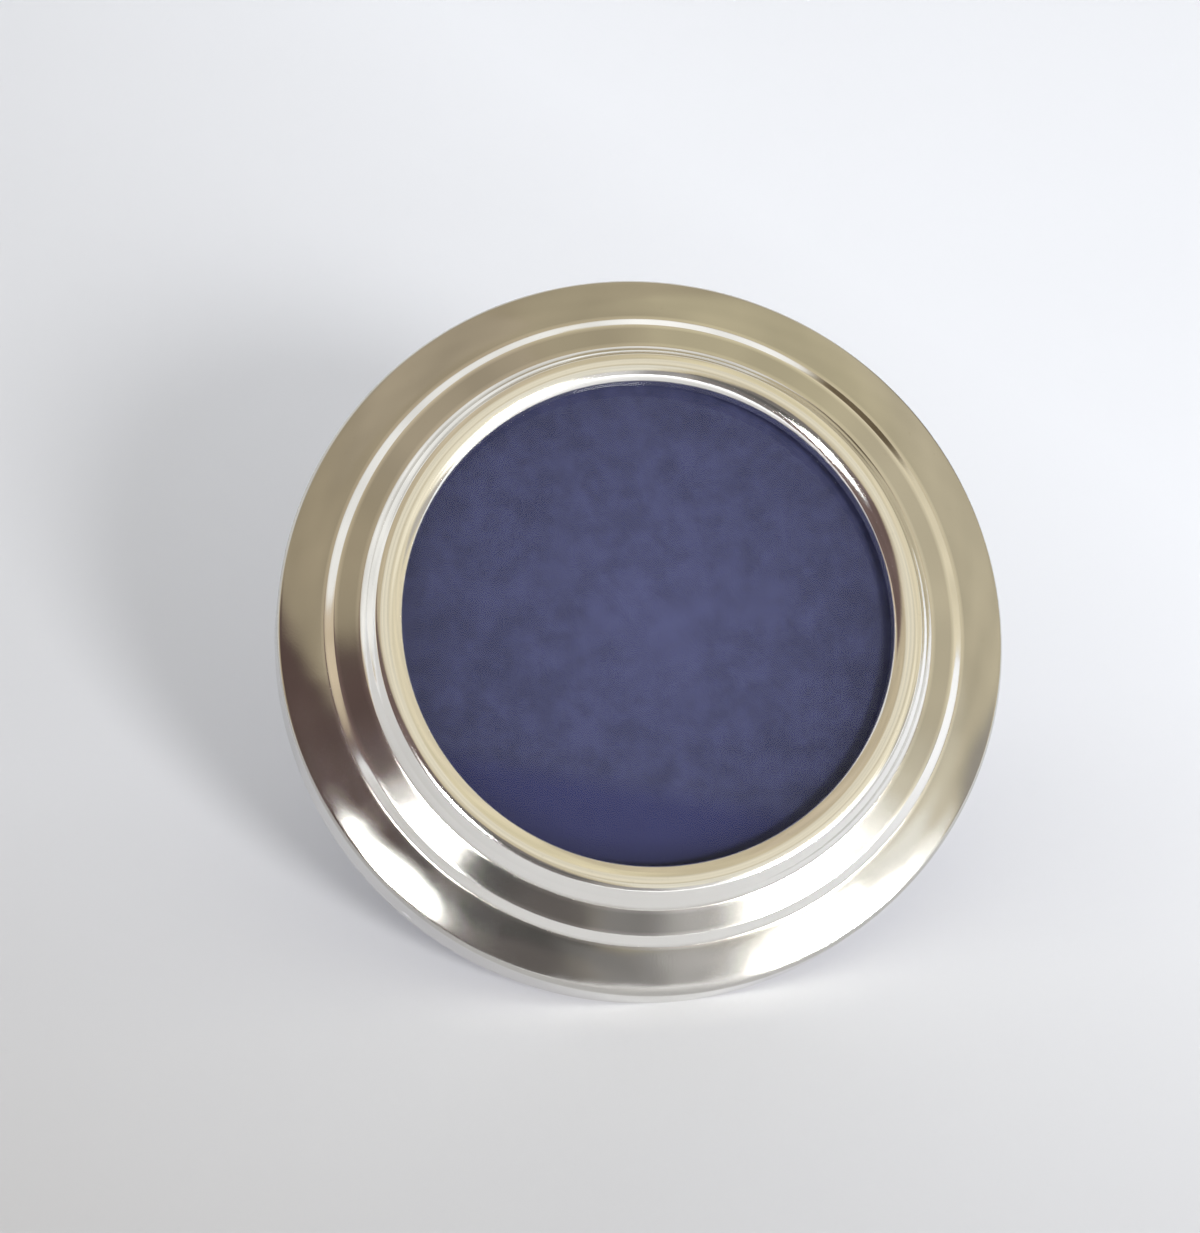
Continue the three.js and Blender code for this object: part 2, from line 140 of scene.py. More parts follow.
class FrontSizes(bpy.types.PropertyGroup):
    """Widths and heights of the silver front's mouldings"""

    sight_radius: length("Sight radius", "Radius of the opening over the glass", 30.05)
    bead_inner_width: length("Bead inside", "Width of the bead from the opening to its crest", 2.25)
    bead_outer_width: length("Bead outside", "Width of the bead from its crest outwards", 1.1)
    cove_width: length("Cove", "Width of each of the two coves", 0.85)
    band_width: length("Band", "Width of the flat band", 3.1)
    step_width: length("Step", "Width of the step between band and flange", 1.1)
    rim_radius: length("Rim radius", "Outer radius of the frame", RIM_RADIUS / MM)
    flange_rise: length("Flange rise", "Height of the flange over the rim", 2.05)
    step_rise: length("Step rise", "Height of the step", 1.0)
    band_rise: length("Band rise", "Height gained across the band", 1.15)
    cove_rise: length("Cove rise", "Height of each cove", 1.225)
    bead_rise: length("Bead rise", "Height of the bead over the coves", 0.3)
    bead_sink: length("Bead sink", "Depth of the bead's inner edge under its crest", 0.95)
    sight_wall: length("Sight wall", "Depth of the straight wall from the bead to the glass", 1.9)
    sight_roll: length("Sight roll", "Rounding between the bead and the sight wall", 0.22)
    flange_bulge: length("Flange bulge", "How far the flange swells out", 0.12)
    cove_hollow: length("Cove hollow", "How far each cove is hollowed", 0.05)
    rim_round: length("Rim round", "Rounding of the outer rim", 0.4)
    sheet: length("Sheet", "Thickness of the silver", 0.5)
    skirt_depth: length("Skirt", "Depth of the skirt behind the rim", 8.0)
    edge_round: length("Edge round", "Rounding worn onto every edge by polishing", 0.16)
    tarnish_reach: length("Tarnish reach", "How far round a hollow tarnish gathers", 0.85)
    tarnish_depth: length("Tarnish depth", "Depth of a hollow that polish can't reach", 0.12)
    rub_edge: length("Rub edge", "Width over which rubbed silver passes into hazed", 0.4)
    pin_radius: length("Pin radius", "Radius of the rim pins' heads", 0.8)
    pin_dome: length("Pin dome", "Height of the rim pins' heads", 0.06)
    pin_cover: length("Pin cover", "Wood left between a rim pin's foot and the back panel", 1.0)


class BackSizes(bpy.types.PropertyGroup):
    """Glass, cards, ring and back panel"""

    glass_lap: length("Glass lap", "How far the glass runs under the silver", 1.35)
    glass_thickness: length("Glass", "Thickness of the glass", 1.6)
    glass_edge: length("Glass edge", "Rounding of the glass's edges", 0.2)
    card_thickness: length("Card", "Thickness of the insert behind the glass", 0.8)
    card_edge: length("Card edge", "Rounding of the insert's edges", 0.1)
    packing_edge: length("Packing edge", "Rounding of the packing card's edges", 0.15)
    board_thickness: length("Board", "Thickness of the back board", 3.0)
    board_edge: length("Board edge", "Rounding of the back board's edges", 0.3)
    velvet: length("Velvet", "Thickness of the velvet", 0.6)
    velvet_bend: length("Velvet bend", "Rounding of the velvet over the board's edge", 1.1)
    velvet_rise: length("Velvet rise", "Height of the unevenness in the velvet", 0.12)
    velvet_run: length("Velvet run", "Length of the unevenness in the velvet", 26.0)
    velvet_dip: length("Velvet dip", "How far the uneven velvet is pressed in", 0.1)
    ring_wall: length("Ring wall", "Thickness of the ring beside the back panel", 3.4)
    ring_inset: length("Ring inset", "How far the ring stops short of the skirt", 0.4)
    ring_edge: length("Ring edge", "Rounding of the ring's edges", 0.35)
    fit: length("Fit", "Clearance between nested pieces", 0.3)
    seat: length("Seat", "Clearance under rivets and leaves", 0.15)
    # The insert's painted shade: darker towards the sight edge than round a middle, and a deeper blue band
    # along its foot.
    pale_middle_right: length("Faded middle", "How far the faded part's middle lies right of the insert's", 3.0)
    edge_shade_reach: length("Fade reach", "From the faded part's middle to unfaded paper", 28.0)
    # Painted shade: a deeper, darker blue band along the insert's foot, under a slanted line.
    foot_shade_drop: length("Fresh drop", "From the faded part's middle down to the fresh colour", 19.5)
    foot_shade_edge: length("Fresh edge", "Width over which the fresh colour comes in", 3.0)
    foot_shade_tilt: angle("Fresh tilt", "Slant of the fresh colour's edge", 15.0)


class HingeSizes(bpy.types.PropertyGroup):
    """Hinge of the strut, and its rivets"""

    height: length("Height", "Height of the hinge pin over the middle", 16.0)
    width: length("Width", "Length of the hinge", 18.0)
    leaf_length: length("Leaf", "Length of a leaf from the pin", 9.0)
    leaf_thickness: length("Leaf sheet", "Thickness of a leaf", 0.6)
    leaf_edge: length("Leaf edge", "Rounding of a leaf's edges", 0.12)
    knuckle_radius: length("Knuckle", "Radius of the knuckles", 1.3)
    knuckle_edge: length("Knuckle edge", "Rounding of the knuckles' edges", 0.15)
    middle_knuckle: length("Middle knuckle", "Length of the middle knuckle", 5.8)
    pin_radius: length("Pin", "Radius of the hinge pin", 0.6)
    pin_head_radius: length("Pin head", "Radius of the hinge pin's heads", 1.0)
    pin_head: length("Pin head depth", "Thickness of the hinge pin's heads", 0.4)
    pin_edge: length("Pin edge", "Rounding of the hinge pin's edges", 0.14)
    rivet_radius: length("Rivet", "Radius of a rivet", 0.8)
    rivet_head_radius: length("Rivet head", "Radius of a rivet's head", 1.5)
    rivet_dome: length("Rivet dome", "Height of a rivet's head", 0.7)
    rivet_tail_radius: length("Rivet tail", "Radius of a rivet's flat tail", 1.2)
    rivet_tail: length("Rivet tail depth", "Thickness of a rivet's flat tail", 0.4)
    rivet_edge: length("Rivet edge", "Rounding of a rivet's edges", 0.06)
    rivet_inset: length("Rivet inset", "From the leaf's end to its rivets", 3.5)
    counterbore: length("Counterbore", "Depth of the hollow for a rivet's tail in the back board", 1.0)


class StrutSizes(bpy.types.PropertyGroup):
    """Strut and its stay ribbon"""

    opening: angle("Opening", "Angle between the strut and the back", 64.0)
    top_width: length("Top width", "Width of the strut's board at the top", 20.0)
    foot_width: length("Foot width", "Width of the strut's board past its foot", 27.0)
    overrun: length("Overrun", "How far past the hinge's height over the table the foot width is taken", 6.0)
    corner: length("Corner", "Rounding of the top corners", 2.5)
    thickness: length("Thickness", "Thickness of the strut's board", 2.4)
    board_edge: length("Board edge", "Rounding of the strut board's edges", 0.12)
    velvet_bend: length("Velvet bend", "Rounding of the velvet over the strut's edge", 1.0)
    velvet_rise: length("Velvet rise", "Height of the unevenness in the strut's velvet", 0.1)
    velvet_run: length("Velvet run", "Length of the unevenness in the strut's velvet", 18.0)
    velvet_dip: length("Velvet dip", "How far the strut's uneven velvet is pressed in", 0.08)
    hem: length("Hem", "Rounding of the velvet's cut edge", 0.3)
    glue: length("Glue", "Gap between the strut's board and its velvet", 0.04)
    ribbon_reach: length("Ribbon reach", "From the hinge pin to the ribbon's bends", 37.0)
    ribbon_width: length("Ribbon width", "Width of the ribbon", 10.0)
    ribbon_thickness: length("Ribbon thickness", "Thickness of the ribbon", 0.4)
    ribbon_tab: length("Ribbon tab", "Length of the ribbon's riveted ends", 7.0)
    ribbon_bend: length("Ribbon bend", "Rounding of the ribbon's bends", 1.2)
    rib_pitch: length("Rib pitch", "From one rib of the ribbon's weave to the next", 0.55)
    rib_share: amount("Rib share", "Share of the ribbon's thickness that its ribs take up", 0.18)
    thread_pitch: length("Thread pitch", "From one warp thread of the ribbon to the next", 0.22)


class Finishes(bpy.types.PropertyGroup):
    """Colours of the finishes"""

    silver: colour("Silver", "Polished silver", (0.94, 0.925, 0.885))
    hazed: colour("Hazed silver", "Silver on the flats, under a thin film", (0.60, 0.585, 0.55))
    tarnish: colour("Tarnish", "Silver where polish can't reach", (0.32, 0.245, 0.17))
    wood: colour("Wood", "Stained wood of the ring", (0.16, 0.06, 0.025))
    wood_dark: colour("Dark grain", "Grain of the stained wood", (0.045, 0.016, 0.008))
    glass: colour("Glass", "Clear glass", (0.97, 0.985, 0.98))
    glass_shade: colour("Glass shade", "Light that the glass lets through", (0.92, 0.94, 0.935))
    insert: colour("Insert", "Blue paper behind the glass", (0.043, 0.044, 0.1))
    # Painted shade: the deeper blue of the band along the insert's foot.
    insert_foot_shade: colour("Fresh insert", "Blue paper where light hasn't faded it", (0.0235, 0.024, 0.077))
    kraft: colour("Kraft", "Brown packing card", (0.4, 0.25, 0.12))
    board: colour("Board", "Grey pressed board", (0.25, 0.22, 0.19))
    velvet: colour("Velvet", "Velvet seen along its pile", (0.012, 0.014, 0.06))
    velvet_light: colour("Velvet bloom", "Velvet where its pile leans", (0.035, 0.04, 0.14))
    velvet_sheen: colour("Velvet sheen", "Sheen at the velvet's edges", (0.3, 0.33, 0.75))
    lining: colour("Lining", "Paper on the inside of the strut", (0.03, 0.034, 0.1))
    ribbon: colour("Ribbon", "Woven stay ribbon", (0.025, 0.03, 0.1))
    brass: colour("Brass", "Hinge, pin and rivets", (0.62, 0.43, 0.17))
    brass_dull: colour("Dull brass", "Brass where it has aged", (0.3, 0.2, 0.08))
    # The floor's two colours carry painted light: darker at the front left, paler at the back right.
    floor: colour("Floor", "Pale floor at the back right", (0.92, 0.94, 0.985))
    floor_painted_shade: colour("Near floor", "Pale floor at the front left", (0.515, 0.51, 0.51))


class StageSizes(bpy.types.PropertyGroup):
    """Camera, lamp, floor and the room that the silver mirrors"""

    azimuth: angle("Azimuth", "Camera's turn to the right", -8.94)
    elevation: angle("Elevation", "Camera's height over the floor, as an angle", 27.96)
    distance: length("Distance", "Camera's distance from the rim's middle", 450.0)
    aim_right: length("Aim right", "How far the rim's middle lies right of the picture's", 5.38)
    aim_down: length("Aim down", "How far the rim's middle lies under the picture's", 1.72)
    focal: amount("Focal length", "Lens in millimetres", 109.9)
    sensor: amount("Sensor", "Width of the camera's sensor in millimetres", 36.0)
    clip_near: length("Clip near", "Nearest distance that the camera sees", 10.0)
    clip_far: length("Clip far", "Farthest distance that the camera sees", 20000.0)
    floor_size: length("Floor", "Half width of the floor", 2000.0)
    # Where the floor's painted light grows paler: along a slant, with depth and with distance.
    pale_left: length("Pale from", "Where the floor starts to grow paler along its slant", -100.0)
    pale_right: length("Pale to", "Where the floor stops growing paler along its slant", 127.0)
    pale_front: length("Pale from front", "Where the floor starts to grow paler with depth", -80.0)
    pale_back: length("Pale to back", "Where the floor stops growing paler with depth", 40.0)
    pale_aside: amount("Pale aside", "Share of the paleness that comes along the slant", 0.74)
    pale_near: length("Pale around", "Distance at which the floor starts to grow paler all round", 250.0)
    pale_far: length("Pale far", "Distance at which the floor is palest all round", 900.0)
    room_radius: length("Room", "Distance of the room's walls", 1400.0)
    room_foot: angle("Room foot", "How far the room's walls reach under the rim's middle", 6.0)
    key_azimuth: angle("Key azimuth", "Key lamp's turn to the right", 12.0)
    key_elevation: angle("Key elevation", "Key lamp's height, as an angle", 24.0)
    key_distance: length("Key distance", "Key lamp's distance", 1300.0)
    key_size: length("Key size", "Key lamp's width", 220.0)
    key_power: amount("Key power", "Key lamp's power in watts", 12.8)
    ambient: amount("Ambient", "Brightness of the even light from all round", 0.287)
    low_share: amount("Low share", "How much more light comes from near the floor than from above", 20.0)
    low_top: amount("Low top", "Sine of the height where the light from near the floor ends", 0.5)


def places(scene):
    """Radii and depths that follow from the sizes. Depth counts rearwards from the rim's front edge."""
    front, back = scene.frame_front, scene.frame_back
    hinge, strut = scene.frame_hinge, scene.frame_strut
    sizes = SimpleNamespace(front=front, back=back, hinge=hinge, strut=strut, finish=scene.frame_finish)
    sizes.bead_crest = front.sight_radius + front.bead_inner_width
    sizes.bead_end = sizes.bead_crest + front.bead_outer_width
    sizes.cove_middle = sizes.bead_end + front.cove_width
    sizes.cove_end = sizes.cove_middle + front.cove_width
    sizes.band_end = sizes.cove_end + front.band_width
    sizes.step_end = sizes.band_end + front.step_width
    sizes.step_foot = -front.flange_rise
    sizes.band_foot = sizes.step_foot - front.step_rise
    sizes.cove_foot = sizes.band_foot - front.band_rise
    sizes.cove_arris = sizes.cove_foot - front.cove_rise
    sizes.bead_foot = sizes.cove_arris - front.cove_rise
    sizes.crest = sizes.bead_foot - front.bead_rise
    sizes.sight_edge = sizes.crest + front.bead_sink
    sizes.wall_end = sizes.sight_edge + front.sight_wall
    sizes.glass_front = sizes.wall_end + back.fit
    sizes.glass_rear = sizes.glass_front + back.glass_thickness
    sizes.card_front = sizes.glass_rear + back.fit
    sizes.card_rear = sizes.card_front + back.card_thickness
    sizes.ring_rear = front.skirt_depth - back.ring_inset
    sizes.velvet_rear = sizes.ring_rear
    sizes.board_rear = sizes.velvet_rear - back.velvet - back.fit
    sizes.board_front = sizes.board_rear - back.board_thickness
    sizes.shoulder = sizes.board_front - back.fit
    sizes.glass_radius = front.sight_radius + back.glass_lap
    sizes.ring_bore = sizes.glass_radius + back.fit
    sizes.ring_radius = front.rim_radius - front.sheet - back.fit
    sizes.recess_radius = sizes.ring_radius - back.ring_wall
    sizes.pin_foot = sizes.recess_radius + front.pin_cover
    sizes.velvet_radius = sizes.recess_radius - back.fit
    sizes.board_radius = sizes.velvet_radius - back.velvet - back.fit
    sizes.leaf_front = sizes.velvet_rear + back.seat
    sizes.leaf_rear = sizes.leaf_front + hinge.leaf_thickness
    sizes.pivot_depth = sizes.leaf_front + hinge.knuckle_radius
    sizes.leaf_start = hinge.knuckle_radius + back.fit
    sizes.leaf_middle = (sizes.leaf_start + hinge.leaf_length) / 2
    sizes.strut_leaf_front = -hinge.knuckle_radius
    sizes.strut_leaf_rear = sizes.strut_leaf_front + hinge.leaf_thickness
    sizes.strut_front = sizes.strut_leaf_rear + back.seat
    sizes.strut_rear = sizes.strut_front + strut.thickness
    sizes.cover = back.fit + back.velvet
    sizes.cover_rear = sizes.strut_rear + sizes.cover
    sizes.strut_top = sizes.leaf_start + sizes.cover
    sizes.foot_slope = math.tan(strut.opening - LEAN)
    sizes.strut_reach = HINGE[2] / math.cos(strut.opening - LEAN)
    sizes.tab_middle = strut.ribbon_reach + strut.ribbon_tab / 2
    sizes.rivet_across = hinge.width / 2 - hinge.rivet_inset
    sizes.origin = HINGE - sizes.pivot_depth * REARWARD - hinge.height * UPWARD
    return sizes


def on_frame(sizes, points):
    """Points given across, rearwards and up the glass, put where the leaning frame stands."""
    return sizes.origin + points @ np.stack([ACROSS, REARWARD, UPWARD])


def swung(sizes, depth, height):
    """Depth and height from the hinge pin of the folded strut, turned by its opening and counted from the
    frame's middle: (depth cos - height sin, depth sin + height cos)."""
    swing, rise = math.cos(sizes.strut.opening), math.sin(sizes.strut.opening)
    rearwards = sizes.pivot_depth + depth * swing - height * rise
    up = sizes.hinge.height + depth * rise + height * swing
    return rearwards, up


def on_strut(sizes, points):
    """Points given from the hinge pin of the folded strut, swung open with it and put on the frame."""
    across, depth, height = np.moveaxis(points, -1, 0)
    return on_frame(sizes, np.stack([across, *swung(sizes, depth, height)], axis=-1))


def bow(start, end, bulge, count):
    """Points of a parabola over the chord from start to end, whose middle stands off it by bulge."""
    t = np.linspace(0.0, 1.0, count)[:, None]
    start, chord = np.array(start), np.subtract(end, start)
    outward = np.array([chord[1], -chord[0]]) / np.linalg.norm(chord)
    return start + t * chord + 4.0 * bulge * t * (1.0 - t) * outward


def quarter(start, corner, end, count):
    """Points of a quarter ellipse from start to end, which leaves and arrives along the lines to corner:
    corner + (start - corner)(1 - sin a) + (end - corner)(1 - cos a) for a from none to a right angle."""
    a = np.linspace(0.0, math.pi / 2, count)[:, None]
    start, corner, end = np.array(start), np.array(corner), np.array(end)
    return corner + (start - corner) * (1.0 - np.sin(a)) + (end - corner) * (1.0 - np.cos(a))


def arch(start, crest, count, begin=0.0):
    """Points of a parabola from start up to its crest, from a share begin of the way."""
    t = np.linspace(begin, 1.0, count)[:, None]
    start, crest = np.array(start), np.array(crest)
    return crest + (start - crest) * np.column_stack([1.0 - t, (1.0 - t) ** 2])


def unit_rows(rows):
    """Each row of an array made one long."""
    return rows / np.linalg.norm(rows, axis=1, keepdims=True)


def step_of(walk):
    """Mean distance from one point of a walk to the next."""
    return np.linalg.norm(np.diff(walk, axis=0), axis=1).mean()


def walked(line, steps):
    """Points at even steps along a line of corners."""
    run = np.concatenate([[0.0], np.cumsum(np.linalg.norm(np.diff(line, axis=0), axis=1))])
    at = np.linspace(0.0, run[-1], steps)
    return np.stack([np.interp(at, run, column) for column in line.T], axis=1)


def averaged(line, half):
    """Each point of an even walk averaged with as many neighbours on either side as half says."""
    before = 2.0 * line[:1] - line[half:0:-1]
    after = 2.0 * line[-1:] - line[-2:-half - 2:-1]
    weight = np.hanning(2 * half + 3)[1:-1]
    weight /= weight.sum()
    padded = np.concatenate([before, line, after])
    return np.stack([np.convolve(column, weight, "valid") for column in padded.T], axis=1)


def softened(line, reach):
    """An even walk along a line of corners, with every corner rounded by averaging over reach."""
    walk = walked(np.asarray(line, float), WALK_STEPS)
    return averaged(walk, max(1, round(reach / step_of(walk))))


def thinned(walk, count):
    """An even walk cut down to count points, which gather where its first two columns bend."""
    heading = np.gradient(walk[:, :2], axis=0)
    bend = np.abs(np.gradient(np.unwrap(np.arctan2(heading[:, 1], heading[:, 0]))))
    effort = BEND_SHARE * bend / bend.sum() + (1.0 - BEND_SHARE) / len(bend)
    run = np.concatenate([[0.0], np.cumsum(effort[1:])])
    at = np.linspace(0.0, run[-1], count)
    return np.stack([np.interp(at, run, column) for column in walk.T], axis=1)


def inset(line, distance):
    """A line of corners moved sideways by one distance, with its corners mitred."""
    along = unit_rows(np.diff(line, axis=0))
    side = np.stack([-along[:, 1], along[:, 0]], axis=1)
    before, after = np.vstack([side[:1], side]), np.vstack([side, side[-1:]])
    mitre = unit_rows(before + after)
    return line + mitre * distance / (mitre * before).sum(axis=1, keepdims=True)


def turned(profile, columns=ROUND_COLUMNS):
    """Grid of a profile of (radius, depth) turned round the depth axis:
    a point goes to (radius sin turn, depth, radius cos turn)."""
    turn = np.linspace(0.0, 2.0 * math.pi, columns, endpoint=False)
    radius, depth = profile[:, :1], profile[:, 1:2]
    return np.stack([radius * np.sin(turn), depth + 0.0 * turn, radius * np.cos(turn)], axis=-1)


def turned_across(profile):
    """Grid of a small profile of (radius, place across) turned round the axis that runs across the frame."""
    return turned(profile, SMALL_COLUMNS)[..., [1, 0, 2]]


def shell(grid, closed=False):
    """Points, faces of four corners and faces of three over a grid whose columns run round a loop. The last
    row joins the first where closed is true, and otherwise each end row closes on its own middle. Faces are
    turned outwards."""
    rows, columns = grid.shape[:2]
    index = np.arange(rows * columns).reshape(rows, columns)
    beside = np.roll(index, -1, axis=1)
    cells = np.stack([index, beside, np.roll(beside, -1, axis=0), np.roll(index, -1, axis=0)], axis=-1)
    points = grid.reshape(-1, 3)
    if closed:
        fans = np.zeros((0, 3), int)
    else:
        cells = cells[:-1]
        first, last = np.full(columns, len(points)), np.full(columns, len(points) + 1)
        fans = np.concatenate([
            np.stack([first, beside[0], index[0]], axis=1),
            np.stack([last, index[-1], beside[-1]], axis=1),
        ])
        points = np.vstack([points, grid[0].mean(axis=0), grid[-1].mean(axis=0)])
    quads = cells.reshape(-1, 4)
    halves = np.concatenate([quads[:, [0, 1, 2]], quads[:, [0, 2, 3]], fans])
    a, b, c = (points[halves[:, k]] - points.mean(axis=0) for k in range(3))
    if (a * np.cross(b, c)).sum() < 0.0:
        quads, fans = quads[:, ::-1], fans[:, ::-1]
    return points, quads, fans


def mesh_of(name, shells):
    """One mesh of one or more shells."""
    faces = []
    count = 0
    for points, quads, fans in shells:
        faces += (quads + count).tolist() + (fans + count).tolist()
        count += len(points)
    mesh = bpy.data.meshes.new(name)
    mesh.from_pydata(np.concatenate([points for points, _, _ in shells]), [], faces)
    mesh.shade_smooth()
    mesh.set_sharp_from_angle(angle=SHARP_ANGLE)
    return mesh


def mark(mesh, name, values):
    """Stores one number, or three, for each point of a mesh."""
    kind, field = ("FLOAT", "value") if values.ndim == 1 else ("FLOAT_VECTOR", "vector")
    attribute = mesh.attributes.new(name, kind, "POINT")
    attribute.data.foreach_set(field, values.astype(np.float32).ravel())


def linked(name, mesh, material):
    """An object at the origin that shows a mesh in one material."""
    piece = bpy.data.objects.new(name, mesh)
    bpy.context.scene.collection.objects.link(piece)
    mesh.materials.append(material)
    return piece


def dressed(name, shells, material, body, slot, *nodes):
    """A finished piece that rides on a body and stands for CAD nodes."""
    piece = linked(name, mesh_of(name, shells), material)
    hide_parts(*nodes)
    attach(piece, body)
    return piece


def new_material(name):
    """A node material, its tree and its main shader."""
    material = bpy.data.materials.new(name)
    material.use_nodes = True
    return material, material.node_tree, material.node_tree.nodes["Principled BSDF"]


def plug(tree, socket, value):
    """Sets a socket to a value, or links another socket to it."""
    if isinstance(value, bpy.types.NodeSocket):
        tree.links.new(value, socket)
    elif hasattr(socket.default_value, "__len__") and len(socket.default_value) == 4 and len(value) == 3:
        socket.default_value = (*value, 1.0)
    else:
        socket.default_value = value


def fill(tree, filled, inputs):
    """Sets or links the named inputs of a node."""
    for name, value in inputs.items():
        plug(tree, filled.inputs[name], value)


def node(tree, kind, inputs, **settings):
    """A new node with its inputs set or linked."""
    made = tree.nodes.new(kind)
    for name, value in settings.items():
        setattr(made, name, value)
    fill(tree, made, inputs)
    return made


def object_place(tree, scale=(1.0, 1.0, 1.0)):
    """Object coordinates in metres, stretched by a scale along each axis."""
    place = tree.nodes.new("ShaderNodeTexCoord").outputs["Object"]
    return node(tree, "ShaderNodeMapping", {"Vector": place, "Scale": scale}).outputs["Vector"]


def noise(tree, place, scale, detail=3.0, roughness=0.55):
    """Cloudy noise from none to one, with scale clouds to the metre."""
    inputs = {"Vector": place, "Scale": scale, "Detail": detail, "Roughness": roughness}
    return node(tree, "ShaderNodeTexNoise", inputs).outputs["Fac"]


def spread(tree, value, low, high, to_low=0.0, to_high=1.0):
    """A value carried from one range to another and held within it."""
    inputs = {"Value": value, "From Min": low, "From Max": high, "To Min": to_low, "To Max": to_high}
    return node(tree, "ShaderNodeMapRange", inputs).outputs["Result"]


def math_node(tree, operation, first, second):
    """Two values put together by one operation of arithmetic."""
    return node(tree, "ShaderNodeMath", {0: first, 1: second}, operation=operation).outputs[0]


def added(tree, first, second):
    """The sum of two values."""
    return math_node(tree, "ADD", first, second)


def measured(tree, operation, *vectors):
    """One number measured from one or two vectors."""
    inputs = dict(enumerate(vectors))
    return node(tree, "ShaderNodeVectorMath", inputs, operation=operation).outputs["Value"]


def blended(tree, share, first, second):
    """One colour passing into another as share goes from none to one."""
    return node(tree, "ShaderNodeMix", {0: share, 6: first, 7: second}, data_type="RGBA").outputs[2]


def bump(tree, height, strength, distance, under=None):
    """A normal tilted by a height, over another normal where one is given."""
    inputs = {"Height": height, "Strength": strength, "Distance": distance}
    if under is not None:
        inputs["Normal"] = under
    return node(tree, "ShaderNodeBump", inputs).outputs["Normal"]


def stored(tree, name, output="Fac"):
    """A number, vector or colour stored on the mesh's points."""
    return node(tree, "ShaderNodeAttribute", {}, attribute_name=name).outputs[output]


def tinted(base, share):
    """A colour made darker or paler by one share."""
    return tuple(share * part for part in base)


def polished_silver(finish):
    """Hand polished silver: bright faces, brown tarnish in the hollows, fine scratches and a slight wave."""
    material, tree, shader = new_material("polished_silver")
    place = object_place(tree)
    cloud = noise(tree, place, 160.0, 4.0)
    speck = noise(tree, place, 1400.0, 3.0, 0.7)
    hollow = spread(tree, stored(tree, "hollow"), 0.1, 0.9, 0.0, 0.92)
    film = math_node(tree, "MULTIPLY", hollow, spread(tree, cloud, 0.2, 0.7, 0.5, 1.0))
    film = added(tree, film, spread(tree, speck, 0.62, 0.85, 0.0, 0.12))
    bright = blended(tree, stored(tree, "rubbed"), finish.hazed, finish.silver)
    haze = spread(tree, cloud, 0.3, 0.75, 0.07, 0.13)
    wave = bump(tree, noise(tree, place, 75.0, 2.0), 0.25, 0.4 * MM)
    scratch = noise(tree, object_place(tree, (1.0, 0.25, 1.0)), 5200.0, 2.0, 0.6)
    fill(tree, shader, {
        "Base Color": blended(tree, film, bright, finish.tarnish),
        "Metallic": 1.0,
        "Roughness": added(tree, haze, spread(tree, film, 0.0, 0.8, 0.0, 0.22)),
        "Normal": bump(tree, scratch, 0.05, 0.04 * MM, wave),
    })
    return material


def stained_wood(finish):
    """Straight grained wood under a dark stain, dull in the pores."""
    material, tree, shader = new_material("stained_wood")
    grain = noise(tree, object_place(tree, (0.07, 1.0, 1.0)), 900.0, 5.0, 0.62)
    figure = noise(tree, object_place(tree, (0.2, 1.0, 1.0)), 120.0, 3.0)
    dark = spread(tree, grain, 0.35, 0.7, 0.0, 0.75)
    dark = added(tree, dark, spread(tree, figure, 0.4, 0.7, 0.0, 0.3))
    fill(tree, shader, {
        "Base Color": blended(tree, dark, finish.wood, finish.wood_dark),
        "Roughness": spread(tree, grain, 0.3, 0.7, 0.38, 0.62),
        "Normal": bump(tree, grain, 0.35, 0.12 * MM),
    })
    return material


def clear_glass(finish):
    """Flat glass with little shine that lets light through to the card behind it."""
    material, tree, shader = new_material("clear_glass")
    fill(tree, shader, {
        "Base Color": finish.glass,
        "Transmission Weight": 1.0,
        "Roughness": 0.0,
        "IOR": 1.22,
    })
    through = node(tree, "ShaderNodeBsdfTransparent", {"Color": finish.glass_shade})
    rays = tree.nodes.new("ShaderNodeLightPath").outputs
    lighting = math_node(tree, "MAXIMUM", rays["Is Shadow Ray"], rays["Is Diffuse Ray"])
    mixed = node(tree, "ShaderNodeMixShader", {0: lighting, 1: shader.outputs[0], 2: through.outputs[0]})
    tree.links.new(mixed.outputs[0], tree.nodes["Material Output"].inputs["Surface"])
    return material


def blue_paper(sizes):
    """Matt coloured paper with a mottle and fine fibres, and painted shade: darker towards the sight edge
    than round a middle set to the right, and a deeper blue band under a slanted line along its foot."""
    material, tree, shader = new_material("blue_paper")
    place = object_place(tree)
    back, base = sizes.back, sizes.finish.insert
    middle = on_frame(sizes, np.array([back.pale_middle_right, sizes.card_front, 0.0]))
    slant = math.cos(back.foot_shade_tilt) * UPWARD + math.sin(back.foot_shade_tilt) * ACROSS
    line = float(middle @ slant) - back.foot_shade_drop
    mottle = noise(tree, place, 240.0, 5.0, 0.75)
    fibre = noise(tree, place, 5000.0, 2.0, 0.5)
    # Painted shade: the paper grows darker the farther it lies from the middle, towards the sight edge.
    tone = spread(tree, measured(tree, "DISTANCE", place, tuple(middle)), 0.0, back.edge_shade_reach, 0.5, 0.0)
    tone = added(tree, tone, spread(tree, mottle, 0.38, 0.62, 0.0, 0.5))
    faded = blended(tree, tone, tinted(base, 0.62), tinted(base, 1.2))
    height = measured(tree, "DOT_PRODUCT", place, tuple(slant))
    # Painted shade: a deeper blue band along the foot, under the slanted line.
    shaded_foot = spread(tree, height, line, line - back.foot_shade_edge, 0.0, 0.85)
    fill(tree, shader, {
        "Base Color": blended(tree, shaded_foot, faded, sizes.finish.insert_foot_shade),
        "Roughness": spread(tree, fibre, 0.3, 0.7, 0.8, 0.95),
        "Specular IOR Level": 0.05,
    })
    return material


